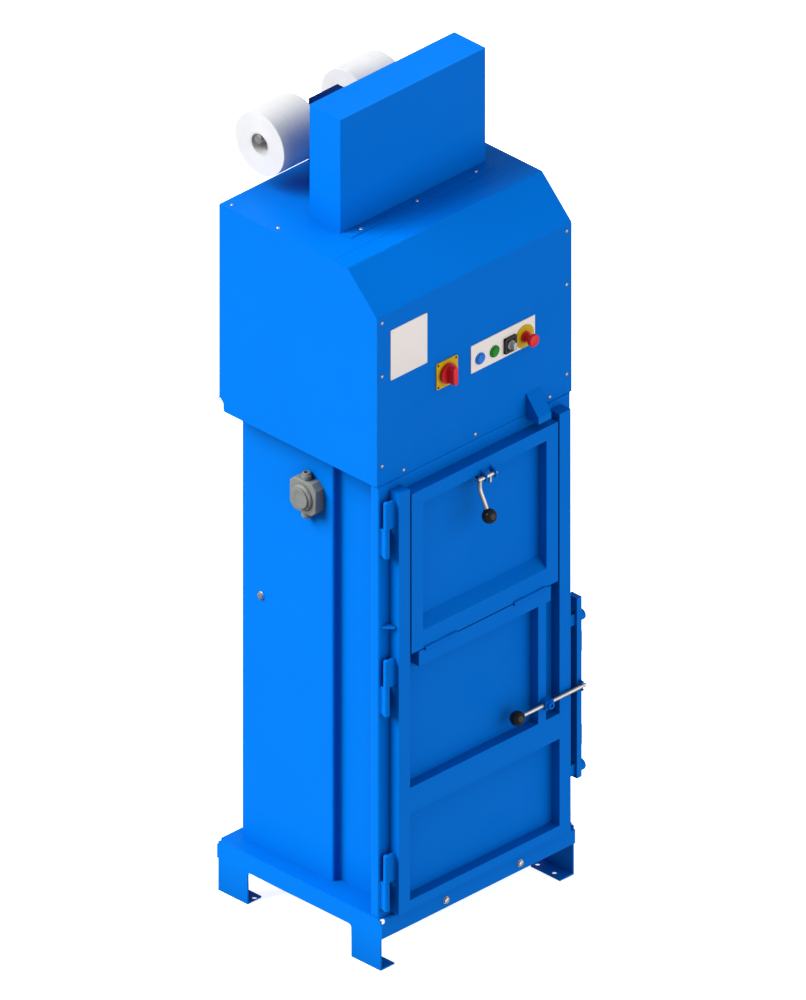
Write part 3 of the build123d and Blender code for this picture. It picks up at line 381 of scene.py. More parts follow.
@dataclass(frozen=True)
class MetalFinish:
    """Bare or plated metal with fine drawn lines and clouded gloss."""

    slot: Slot
    tone: Tone
    gloss: Pair
    grain: Point
    grain_share: float = 0.2
    grain_depth: float = 0.0001
    cloud_shares: Pair = (0.88, 1.06)
    cloud_scale: float = 60.0

    def material(self) -> bpy.types.Material:
        """Build the metal's node material.

        Returns:
            The material.
        """
        shader = Shader(self.slot.value)
        shader.set(Metallic=1.0)
        tone = shader.clouded(self.tone, self.cloud_shares, self.cloud_scale, detail=4.0)
        lines = shader.noise(1.0, vector=shader.stretched(self.grain))
        gloss = shader.range(lines, *self.gloss)
        return shader.finished(tone, gloss, shader.bump(lines, self.grain_share, self.grain_depth))


@dataclass(frozen=True)
class PlasticFinish:
    """Moulded plastic with a faint tone drift, a fine mould texture and painted shade in its corners."""

    slot: Slot
    tone: Tone
    gloss: Pair = (0.28, 0.4)
    specular: float = 0.25
    texture_scale: float = 900.0
    texture_share: float = 0.12
    texture_depth: float = 0.0002
    # Painted shade in corners: how far it reaches and how strongly it shows.
    shade_reach: float = 0.02
    shade_share: float = 0.6
    gloss_scale: float = 120.0
    cloud_shares: Pair = (0.93, 1.05)
    cloud_scale: float = 35.0

    def material(self) -> bpy.types.Material:
        """Build the plastic's node material.

        Returns:
            The material.
        """
        shader = Shader(self.slot.value)
        shader.set(Specular_IOR_Level=self.specular)
        tone = shader.clouded(self.tone, self.cloud_shares, self.cloud_scale, detail=3.0)
        # Painted shade darkens the plastic's colour in corners and recesses.
        tone = shader.with_painted_shade(tone, self.shade_reach, self.shade_share)
        gloss = shader.range(shader.noise(self.gloss_scale, detail=2.0), *self.gloss)
        texture = shader.noise(self.texture_scale, detail=2.0)
        return shader.finished(tone, gloss, shader.bump(texture, self.texture_share, self.texture_depth))


@dataclass(frozen=True)
class StrapFinish:
    """Wound polyester strap: white, with the fine cords of the weave across the roll."""

    slot: Slot
    tone: Tone
    gloss: Pair = (0.5, 0.68)
    gloss_scale: float = 90.0
    specular: float = 0.3
    sheen: float = 0.15
    cord_scale: float = 260.0
    cord_waver: float = 0.4
    cord_share: float = 0.25
    cord_depth: float = 0.0003
    cloud_shares: Pair = (0.95, 1.03)
    cloud_scale: float = 18.0

    def material(self) -> bpy.types.Material:
        """Build the strap's node material.

        Returns:
            The material.
        """
        shader = Shader(self.slot.value)
        shader.set(Specular_IOR_Level=self.specular, Sheen_Weight=self.sheen)
        tone = shader.clouded(self.tone, self.cloud_shares, self.cloud_scale, detail=4.0)
        gloss = shader.range(shader.noise(self.gloss_scale, detail=2.0), *self.gloss)
        cords = shader.bands(self.cord_scale, "X", self.cord_waver)
        return shader.finished(tone, gloss, shader.bump(cords, self.cord_share, self.cord_depth))


@dataclass
class Finishes:
    """All finishes of the machine, made once and shared by the pieces."""

    made: dict[Slot, bpy.types.Material] = field(default_factory=dict)
    kinds: tuple[PaintFinish | MetalFinish | PlasticFinish | StrapFinish, ...] = (
        PaintFinish(Slot.BLUE_PAINT, (0.0, 0.142, 0.6), specular=0.06, gloss_tone=(0.0, 0.3, 1.0)),
        PaintFinish(Slot.NAVY_PAINT, (0.0, 0.012, 0.09), specular=0.03, gloss_tone=(0.0, 0.3, 1.0)),
        PaintFinish(Slot.GREY_PAINT, (0.07, 0.08, 0.09)),
        PaintFinish(
            Slot.PLATE_WHITE, (0.8, 0.74, 0.71), gloss=(0.32, 0.42), peel_share=0.04, shade_share=0.1
        ),
        MetalFinish(Slot.ZINC_STEEL, (0.52, 0.51, 0.5), (0.34, 0.5), (900.0, 900.0, 900.0)),
        MetalFinish(Slot.ROD_CHROME, (0.86, 0.87, 0.89), (0.06, 0.14), (700.0, 700.0, 12.0), 0.05),
        MetalFinish(Slot.CAST_ALUMINIUM, (0.6, 0.61, 0.62), (0.42, 0.6), (240.0, 240.0, 240.0), 0.4),
        PlasticFinish(Slot.BLACK_PLASTIC, (0.012, 0.011, 0.011), gloss=(0.16, 0.26)),
        PlasticFinish(Slot.DARK_PLASTIC, (0.03, 0.03, 0.031), gloss=(0.4, 0.55)),
        PlasticFinish(Slot.TANK_PLASTIC, (0.62, 0.62, 0.56), gloss=(0.4, 0.5)),
        PlasticFinish(
            Slot.BOX_GREY, (0.17, 0.18, 0.17), gloss=(0.4, 0.55), texture_scale=500.0, texture_share=0.3
        ),
        StrapFinish(Slot.STRAP_WHITE, (0.56, 0.56, 0.57)),
        PlasticFinish(Slot.BLUE_PLASTIC, (0.008, 0.17, 0.68)),
        PlasticFinish(Slot.GREEN_PLASTIC, (0.0, 0.22, 0.01)),
        PlasticFinish(Slot.GREY_PLASTIC, (0.5, 0.5, 0.5)),
        PlasticFinish(Slot.RED_PLASTIC, (0.7, 0.016, 0.024)),
        PlasticFinish(Slot.YELLOW_PLASTIC, (0.6, 0.38, 0.0)),
    )

    def make(self) -> None:
        """Build every finish's material."""
        for kind in self.kinds:
            self.made[kind.slot] = kind.material()

    def dress_nodes(self, frame: dict) -> None:
        """Give every carried-over node the finish that its slot names.

        Args:
            frame: The loaded frame.
        """
        for subpart in frame["record"]["subparts"]:
            node = frame["nodes"][subpart["node"]]
            node.data.materials.clear()
            node.data.materials.append(self.made[Slot(subpart["material_slot"])])


def facing(point: Point, direction: Facing | Point) -> Matrix:
    """Place whose Z axis points in a direction.

    Args:
        point: Origin of the place.
        direction: One of the named directions, or a vector.

    Returns:
        The place as a matrix.
    """
    vector = Vector(direction.value if isinstance(direction, Facing) else direction)
    return Matrix.Translation(Vector(point)) @ vector.to_track_quat("Z", "Y").to_matrix().to_4x4()


def clean(shape: Shape) -> Shape:
    """Merge doubles and turn the faces outwards.

    Args:
        shape: Shape to clean.

    Returns:
        The same shape.
    """
    bmesh.ops.remove_doubles(shape, verts=shape.verts, dist=MERGE_DISTANCE)
    bmesh.ops.recalc_face_normals(shape, faces=shape.faces)
    return shape


def turned(profile: Profile, steps: int = 32, angle: float = math.tau, closed: bool = False) -> Shape:
    """Turn a profile about the Z axis.

    Args:
        profile: Points as radius and height, from one end to the other.
        steps: Steps round the turn.
        angle: Angle of the turn, a full one by default.
        closed: True if the profile closes on itself.

    Returns:
        The turned shape.
    """
    shape = bmesh.new()
    verts = [shape.verts.new((radius, 0.0, height)) for radius, height in profile]
    edges = [shape.edges.new(pair) for pair in zip(verts, verts[1:])]
    if closed:
        edges.append(shape.edges.new((verts[-1], verts[0])))
    full = math.isclose(angle, math.tau)
    bmesh.ops.spin(
        shape,
        geom=verts + edges,
        cent=(0, 0, 0),
        axis=(0, 0, 1),
        angle=angle,
        steps=steps,
        use_merge=full,
    )
    if closed and not full:
        bmesh.ops.holes_fill(shape, edges=[edge for edge in shape.edges if edge.is_boundary])
    return clean(shape)


def soften(shape: Shape, edges: list[bmesh.types.BMEdge], width: float, flats: int) -> None:
    """Bevel some edges of a shape.

    Args:
        shape: Shape that holds the edges.
        edges: Edges to bevel.
        width: Width that the bevel takes off the faces beside an edge.
        flats: Flats across the bevel, more for a rounder edge.
    """
    bmesh.ops.bevel(
        shape, geom=edges, offset=width, segments=flats, profile=0.5, affect="EDGES", material=-1
    )


def block(size: Point, corner: float, corner_flats: int, edge: float, edge_flats: int) -> Shape:
    """Block about the Z axis with worked corners and front edges, its back on Z zero.

    Args:
        size: Width, height and thickness along X, Y and Z.
        corner: Width of the four corners.
        corner_flats: Flats across a corner.
        edge: Width of the front edges.
        edge_flats: Flats across a front edge.

    Returns:
        The block.
    """
    shape = bmesh.new()
    middle = size[2] / 2
    bmesh.ops.create_cube(shape, size=1.0)
    bmesh.ops.scale(shape, verts=shape.verts, vec=size)
    bmesh.ops.translate(shape, verts=shape.verts, vec=(0, 0, middle))
    upright = [e for e in shape.edges if abs(e.verts[0].co.z - e.verts[1].co.z) > middle]
    soften(shape, upright, corner, corner_flats)
    front = [e for e in shape.edges if min(v.co.z for v in e.verts) > middle]
    soften(shape, front, edge, edge_flats)
    return clean(shape)


def prism(sides: int, radius: float, height: float, edge: float) -> Shape:
    """Upright prism with broken edges, such as a hexagon head.

    Args:
        sides: Sides of the prism.
        radius: Radius to its corners.
        height: Height along Z from zero.
        edge: Width of the broken edges.

    Returns:
        The prism.
    """
    shape = bmesh.new()
    bmesh.ops.create_cone(
        shape, cap_ends=True, segments=sides, radius1=radius, radius2=radius, depth=height
    )
    bmesh.ops.translate(shape, verts=shape.verts, vec=(0, 0, height / 2))
    soften(shape, shape.edges[:], edge, flats=2)
    return clean(shape)


def plate(size: Point, corner: float, edge: float) -> Shape:
    """Flat plate with rounded corners and softened edges, its back on Z zero.

    Args:
        size: Width, height and thickness along X, Y and Z.
        corner: Radius of the four corners.
        edge: Width of the softened front edge.

    Returns:
        The plate.
    """
    return block(size, corner, corner_flats=6, edge=edge, edge_flats=2)


def bead(
    length: float,
    radius: float,
    pitch: float,
    ripple: float = 0.1,
    waver: float = 0.06,
    turn: float = 1.7,
) -> Shape:
    """Weld bead along Z, with the ripples of its passes.

    Args:
        length: Length along Z from zero.
        radius: Mean radius of the bead.
        pitch: Distance between ripples.
        ripple: Share of the radius by which the ripples rise and fall.
        waver: Share of the radius by which the bead swells and shrinks along its length.
        turn: Angle of that swelling from ring to ring, in radians.

    Returns:
        The bead.
    """
    rings = max(2, round(length / pitch) * 2)
    profile: Outline = [(0.0, 0.0)]
    for ring in range(rings + 1):
        swell = 1.0 + (ripple if ring % 2 else -ripple) + waver * math.sin(ring * turn)
        profile.append((radius * swell, length * ring / rings))
    profile.append((0.0, length))
    return turned(profile, steps=10)


class Piece:
    """One new mesh piece, put together from shapes and placed in the row frame."""

    def __init__(self, name: str) -> None:
        """Start an empty piece.

        Args:
            name: Name of the finished object.
        """
        self.name = name
        self.mesh = bpy.data.meshes.new(name)
        self.shapes = bmesh.new()

    def add(self, shape: Shape, *places: Matrix) -> Piece:
        """Put copies of a shape at places.

        Args:
            shape: Shape in millimetres, which is used up.
            places: Places of the copies, or none for where it is.

        Returns:
            The piece itself.
        """
        pattern = bpy.data.meshes.new("pattern")
        shape.to_mesh(pattern)
        shape.free()
        for place in places or (Matrix.Identity(4),):
            before = set(self.shapes.verts)
            self.shapes.from_mesh(pattern)
            added = [vert for vert in self.shapes.verts if vert not in before]
            bmesh.ops.transform(self.shapes, matrix=place, verts=added)
        bpy.data.meshes.remove(pattern)
        return self

    def finish(
        self,
        finishes: Finishes,
        slot: Slot,
        body: Body,
        replaces: Sequence[str] = (),
        crease: float = 35.0,
    ) -> bpy.types.Object:
        """Turn the shapes into an object that rides on a body.

        Args:
            finishes: Finishes of the machine.
            slot: Slot of the piece's finish.
            body: Body that the piece rides on.
            replaces: Carried-over nodes that the piece stands for.
            crease: Angle in degrees above which an edge stays sharp.

        Returns:
            The finished object.
        """
        bmesh.ops.scale(self.shapes, verts=self.shapes.verts, vec=(MM, MM, MM))
        self.shapes.to_mesh(self.mesh)
        self.shapes.free()
        for face in self.mesh.polygons:
            face.use_smooth = True
        self.mesh.set_sharp_from_angle(angle=math.radians(crease))
        self.mesh.materials.append(finishes.made[slot])
        obj = bpy.data.objects.new(self.name, self.mesh)
        bpy.context.scene.collection.objects.link(obj)
        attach(obj, body.value)
        if replaces:
            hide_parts(*replaces)
        log.info("%s: %d faces on %s", self.name, len(self.mesh.polygons), body.value)
        return obj


@dataclass
class Assembly:
    """Group of new pieces that share the machine's finishes."""

    finishes: Finishes

    def build(self) -> None:
        """Build the pieces of the group."""
        raise NotImplementedError


@dataclass
class HoodTrim(Assembly):
    """Cover screws and the bare sign plate of the hood."""

    front: float = -246.0
    back: float = 250.0
    top: float = 1763.0
    flange_top: float = 1765.0
    side_x: float = 290.0
    side_heights: Values = (1652.0, 1515.0, 1285.0)
    lower_row_z: float = 1248.0
    lower_row: Values = (-222.0, 3.0, 237.0)
    top_x: float = 288.0
    top_places: Values = (227.0, 82.0)
    flange_y: float = -53.0
    flange_places: Values = (-164.0, 12.0, 197.0)
    back_heights: Values = (1700.0, 1500.0, 1300.0)
    sign_center: Point = (-206.5, -246.0, 1559.0)
    sign_size: Point = (115.0, 128.0, 1.5)
    sign_corner: float = 3.0
    sign_edge: float = 0.4
    rivet_inset: float = 7.0

    def screw(self) -> Shape:
        """Low round screw head with a socket.

        Returns:
            The head, its seat on Z zero.
        """
        return turned(
            [
                (0.0, 0.8), (1.5, 0.8), (1.8, 2.2), (2.6, 2.1), (3.8, 1.3), (4.3, 0.4), (4.4, 0.0),
                (0.0, 0.0),
            ],
            steps=18,
        )

    def build(self) -> None:
        """Build the screws, the sign plate and its rivets."""
        places = [facing((x, self.front, self.lower_row_z), Facing.FRONT) for x in self.lower_row]
        places += [facing((x, self.flange_y, self.flange_top), Facing.UP) for x in self.flange_places]
        for side in (-1, 1):
            x = side * self.side_x
            places += [facing((x, self.front, z), Facing.FRONT) for z in self.side_heights]
            places += [facing((x, self.back, z), Facing.BACK) for z in self.back_heights]
            places += [facing((side * self.top_x, y, self.top), Facing.UP) for y in self.top_places]
        screws = Piece("hood_screws").add(self.screw(), *places)
        screws.finish(self.finishes, Slot.ZINC_STEEL, Body.FRAME)
        sheet = plate(self.sign_size, self.sign_corner, self.sign_edge)
        sign = Piece("sign_plate").add(sheet, facing(self.sign_center, Facing.FRONT))
        sign.finish(self.finishes, Slot.PLATE_WHITE, Body.FRAME)
        x, y, z = self.sign_center
        half_x = self.sign_size[0] / 2 - self.rivet_inset
        half_z = self.sign_size[1] / 2 - self.rivet_inset
        corners = [
            facing((x + side * half_x, y - self.sign_size[2], z + level * half_z), Facing.FRONT)
            for side in (-1, 1)
            for level in (-1, 1)
        ]
        rivet = turned([(0.0, 0.9), (1.2, 0.8), (2.2, 0.4), (2.6, 0.0), (0.0, 0.0)], steps=14)
        Piece("sign_rivets").add(rivet, *corners).finish(self.finishes, Slot.PLATE_WHITE, Body.FRAME)


@dataclass
class StrapRolls(Assembly):
    """Rolls of wound strap on their paper cores."""

    center_y: float = 228.0
    center_z: float = 1882.0
    radius: float = 78.0
    core_radius: float = 29.0
    bore_radius: float = 25.0
    length: float = 121.0
    starts: tuple[tuple[str, float, Body], ...] = (
        ("left", -201.0, Body.LEFT_REEL),
        ("right", 69.0, Body.RIGHT_REEL),
    )
    skin_inset: float = 0.6
    rim_width: float = 0.8
    rim_depth: float = 0.6
    layers: int = 18
    layer_relief: float = 0.2
    layer_flat: Pair = (0.25, 0.75)
    lanes: int = 8
    lane_relief: float = 0.05
    lane_gap: float = 0.8
    lane_edge: float = 1.6
    core_bore_edge: float = 0.6
    core_rim_width: float = 0.4
    core_rim_depth: float = 0.5
    tail_angle: float = math.radians(38)
    tail_lane: int = 4
    tail_foot_inset: float = 0.7
    tail_top_inset: float = 0.05
    tail_foot_gap: float = 1.0
    tail_top_gap: float = 1.2

    def roll_profile(self) -> Outline:
        """Section of a roll: layered ends and lanes of strap across its round.

        Returns:
            Points as radius and height.
        """
        skin = self.radius - self.skin_inset
        groove = skin - self.lane_relief
        step = (skin - self.core_radius) / self.layers
        flat_start, flat_end = (step * share for share in self.layer_flat)
        low_end: Outline = []
        for layer in range(self.layers):
            inner = self.core_radius + layer * step
            low_end += [(inner, self.layer_relief), (inner + flat_start, 0.0), (inner + flat_end, 0.0)]
        low_end.append((skin - self.rim_width, self.rim_depth))
        lane = self.length / self.lanes
        round_side: Outline = []
        for index in range(self.lanes):
            start = index * lane
            end = start + lane
            round_side += [
                (groove, start + self.lane_gap),
                (skin, start + self.lane_edge),
                (skin, end - self.lane_edge),
                (groove, end - self.lane_gap),
            ]
        high_end = [(radius, self.length - height) for radius, height in reversed(low_end)]
        return low_end + round_side + high_end

    def core_profile(self) -> Outline:
        """Section of the paper core.

        Returns:
            Points as radius and height.
        """
        low_end = [
            (self.bore_radius, self.core_bore_edge),
            (self.bore_radius + self.core_bore_edge, 0.0),
            (self.core_radius - self.core_rim_width, 0.0),
            (self.core_radius, self.core_rim_depth),
        ]
        return low_end + [(radius, self.length - height) for radius, height in reversed(low_end)]

    def tail_profile(self) -> Outline:
        """Section of the loose end of the strap on the outside of a roll.

        Returns:
            Points as radius and height.
        """
        lane = self.length / self.lanes
        start = lane * self.tail_lane
        end = start + lane
        return [
            (self.radius - self.tail_foot_inset, start + self.tail_foot_gap),
            (self.radius - self.tail_top_inset, start + self.tail_top_gap),
            (self.radius - self.tail_top_inset, end - self.tail_top_gap),
            (self.radius - self.tail_foot_inset, end - self.tail_foot_gap),
        ]

    def build(self) -> None:
        """Build both rolls with their cores and loose ends."""
        for side, start, body in self.starts:
            place = facing((start, self.center_y, self.center_z), Facing.RIGHT)
            winding = turned(self.roll_profile(), steps=72, closed=True)
            tail = turned(self.tail_profile(), steps=14, angle=self.tail_angle, closed=True)
            roll = Piece(f"{side}_strap_roll").add(winding, place).add(tail, place)
            roll.finish(self.finishes, Slot.STRAP_WHITE, body, replaces=(f"{side}_reel",))
            tube = turned(self.core_profile(), steps=48, closed=True)
            core = Piece(f"{side}_strap_core").add(tube, place)
            core.finish(self.finishes, Slot.GREY_PLASTIC, body)


@dataclass
class LeverKnobs(Assembly):
    """Black ball knobs of the hatch lever and the lock lever."""

    radius: float = 17.5
    arc_steps: int = 24
    parting_step: int = 14
    parting_depth: float = 0.18
    collar_radius: float = 8.5
    collar_shoulder: float = 16.6
    collar_top: float = 17.2
    collar_mouth: float = 16.8
    floor: float = 3.5
    hatch_center: Point = (-27.0, -320.0, 1081.0)
    hatch_arm: Point = (0.0, 30.0, 55.0)
    hatch_rod_radius: float = 5.7
    lock_center: Point = (93.0, -288.0, 500.0)
    lock_rod_radius: float = 5.2

    def ball(self, rod_radius: float) -> Shape:
        """Ball with a collar round the rod and a fine parting line.

        Args:
            rod_radius: Radius of the rod's hole.

        Returns:
            The ball, with its rod along +Z.
        """
        top = math.asin(self.collar_radius / self.radius)
        arc: Outline = []
        for step in range(self.arc_steps + 1):
            turn = math.pi - (math.pi - top) * step / self.arc_steps
            reach = self.radius - (self.parting_depth if step == self.parting_step else 0.0)
            arc.append((max(reach * math.sin(turn), 0.0), reach * math.cos(turn)))
        collar = [
            (self.collar_radius - 0.3, self.collar_shoulder),
            (self.collar_radius - 1.0, self.collar_top),
            (rod_radius + 0.5, self.collar_top),
            (rod_radius, self.collar_mouth),
            (rod_radius, self.floor),
            (0.0, self.floor),
        ]
        return turned(arc + collar, steps=40)

    def build(self) -> None:
        """Build both knobs."""
        hatch = Piece("hatch_knob")
        hatch.add(self.ball(self.hatch_rod_radius), facing(self.hatch_center, self.hatch_arm))
        hatch.finish(self.finishes, Slot.BLACK_PLASTIC, Body.HATCH_HANDLE, replaces=("hatch_lever_ball",))
        lock = Piece("lock_knob")
        lock.add(self.ball(self.lock_rod_radius), facing(self.lock_center, Facing.RIGHT))
        lock.finish(self.finishes, Slot.BLACK_PLASTIC, Body.LOCK_HANDLE, replaces=("lock_lever_ball",))


@dataclass
class DoorLockScrews(Assembly):
    """Shoulder screws that guide the lock bar, and the pivot bolt of its lever."""

    guide_x: float = 289.3
    guide_y: float = -264.0
    guide_heights: Values = (282.0, 667.0)
    pivot: Point = (186.0, -279.0, 500.0)

    def build(self) -> None:
        """Build the three screws with their sockets."""
        guide = turned(
            [
                (0.0, 0.0), (6.0, 0.0), (6.0, 15.6), (12.9, 15.6), (13.5, 16.2), (13.5, 29.4),
                (12.9, 30.8), (11.5, 31.6), (7.0, 31.6), (6.4, 31.0), (6.0, 25.6), (0.0, 25.6),
            ],
            steps=36,
        )
        pivot = turned(
            [
                (0.0, 0.0), (5.0, 0.0), (5.0, 18.6), (8.6, 18.6), (9.0, 19.0), (9.0, 24.2), (8.4, 25.2),
                (7.6, 25.6), (4.5, 25.6), (4.0, 25.1), (4.0, 21.6), (0.0, 21.6),
            ],
            steps=32,
        )
        guides = [facing((self.guide_x, self.guide_y, z), Facing.RIGHT) for z in self.guide_heights]
        screws = Piece("lock_guide_screws").add(guide, *guides)
        screws.add(pivot, facing(self.pivot, Facing.FRONT))
        screws.finish(self.finishes, Slot.BLUE_PAINT, Body.DOOR, replaces=("lock_screws",))


@dataclass
class FrameBolts(Assembly):
    """Hexagon bolts with washers on the base and the walls."""

    base_y: float = -259.0
    base_z: float = 102.0
    base_places: Values = (-103.0, 130.0)
    wall_x: float = 257.0
    wall_y: float = 167.0
    wall_z: float = 773.0

    def build(self) -> None:
        """Build the bolts."""
        places = [facing((x, self.base_y, self.base_z), Facing.FRONT) for x in self.base_places]
        places.append(facing((-self.wall_x, self.wall_y, self.wall_z), Facing.LEFT))
        places.append(facing((self.wall_x, self.wall_y, self.wall_z), Facing.RIGHT))
        washer = turned([(0.0, 0.0), (9.0, 0.0), (9.0, 1.1), (8.7, 1.4), (0.0, 1.4)], steps=28)
        bolts = Piece("frame_hex_bolts").add(washer, *places)
        bolts.add(prism(sides=6, radius=7.9, height=5.6, edge=0.5), *places)
        bolts.finish(self.finishes, Slot.ZINC_STEEL, Body.FRAME, replaces=("frame_bolts",))


@dataclass
class HingeTrim(Assembly):
    """End caps and weld beads of the door's barrel hinges."""

    axis_x: float = -294.0
    axis_y: float = -264.0
    bottoms: Values = (155.0, 655.0, 1060.0)
    height: float = 140.0
    leaf: float = 6.0
    door_edge: float = -270.0
    post_face: float = -248.0
    bead_radius: float = 2.0
    bead_pitch: float = 3.2
    bead_start: float = 2.0
    bead_shortening: float = 5.0

    def build(self) -> None:
        """Build the caps and beads."""
        half = self.height / 2
        dome: Profile = [(0.0, 1.8), (2.6, 1.7), (4.8, 1.1), (5.9, 0.0), (0.0, 0.0)]
        lower = [facing((self.axis_x, self.axis_y, z), Facing.DOWN) for z in self.bottoms]
        upper = [facing((self.axis_x, self.axis_y, z + self.height), Facing.UP) for z in self.bottoms]
        for name, places, body in (("lower", lower, Body.FRAME), ("upper", upper, Body.DOOR)):
            caps = Piece(f"hinge_{name}_caps").add(turned(dome, steps=28), *places)
            caps.finish(self.finishes, Slot.BLUE_PAINT, body)
        starts = [z + self.bead_start for z in self.bottoms]
        frame_places = [
            facing((self.axis_x + side * self.leaf / 2, self.post_face, z), Facing.UP)
            for z in starts
            for side in (-1, 1)
        ]
        door_places = [
            facing((self.door_edge, self.axis_y + side * self.leaf / 2, z + half), Facing.UP)
            for z in starts
            for side in (-1, 1)
        ]
        length = half - self.bead_shortening
        for name, places, body in (("post", frame_places, Body.FRAME), ("door", door_places, Body.DOOR)):
            shape = bead(length, self.bead_radius, self.bead_pitch)
            welds = Piece(f"hinge_{name}_welds").add(shape, *places)
            welds.finish(self.finishes, Slot.BLUE_PAINT, body, crease=WELD_CREASE)


@dataclass
class JunctionBox(Assembly):
    """Eight-sided cable box on the left wall with a domed lid and a gland above and below."""

    wall_x: float = -257.0
    center_y: float = 11.0
    center_z: float = 1100.0
    width: float = 82.0
    corner: float = 14.0
    front_edge: float = 2.5
    depth: float = 26.0
    gland_start: float = 40.0
    lid_screw_angles: Values = (45.0, 135.0, 225.0, 315.0)
    lid_screw_radius: float = 28.5
    lid_screw_lift: float = 32.0

    def casting(self) -> Shape:
        """Eight-sided body with broken edges.

        Returns:
            The body, its back on Z zero.
        """
        size = (self.width, self.width, self.depth)
        return block(size, self.corner, corner_flats=1, edge=self.front_edge, edge_flats=3)

    def build(self) -> None:
        """Build the casting with its dome, the glands and the lid screws."""
        wall = facing((self.wall_x, self.center_y, self.center_z), Facing.LEFT)
        dome = turned(
            [
                (0.0, 25.0), (31.5, 25.0), (31.8, 28.0), (31.0, 30.4), (28.6, 32.6), (25.6, 33.6),
                (25.0, 34.0), (25.0, 37.2), (24.2, 38.0), (15.0, 38.0), (14.4, 37.4), (0.0, 37.4),
            ],
            steps=48,
        )
        gland = turned(
            [
                (0.0, 0.0), (11.0, 0.0), (11.0, 4.0), (12.0, 4.6), (12.0, 12.6), (11.4, 13.4),
                (9.4, 13.6), (9.0, 17.2), (8.2, 18.0), (6.4, 18.0), (6.0, 14.0), (0.0, 14.0),
            ],
            steps=24,
        )
        port_x = self.wall_x - self.depth / 2
        glands = [
            facing((port_x, self.center_y, self.center_z + self.gland_start), Facing.UP),
            facing((port_x, self.center_y, self.center_z - self.gland_start), Facing.DOWN),
        ]
        box = Piece("junction_casting").add(self.casting(), wall).add(dome, wall).add(gland, *glands)
        box.finish(self.finishes, Slot.BOX_GREY, Body.FRAME, replaces=("junction_box",))
        screws = []
        for angle in map(math.radians, self.lid_screw_angles):
            y = self.center_y + self.lid_screw_radius * math.cos(angle)
            z = self.center_z + self.lid_screw_radius * math.sin(angle)
            screws.append(facing((self.wall_x - self.lid_screw_lift, y, z), Facing.LEFT))
        head = turned([(0.0, 0.6), (0.8, 0.6), (1.0, 1.2), (1.9, 1.1), (2.3, 0.0), (0.0, 0.0)], steps=16)
        Piece("junction_lid_screws").add(head, *screws).finish(self.finishes, Slot.ZINC_STEEL, Body.FRAME)


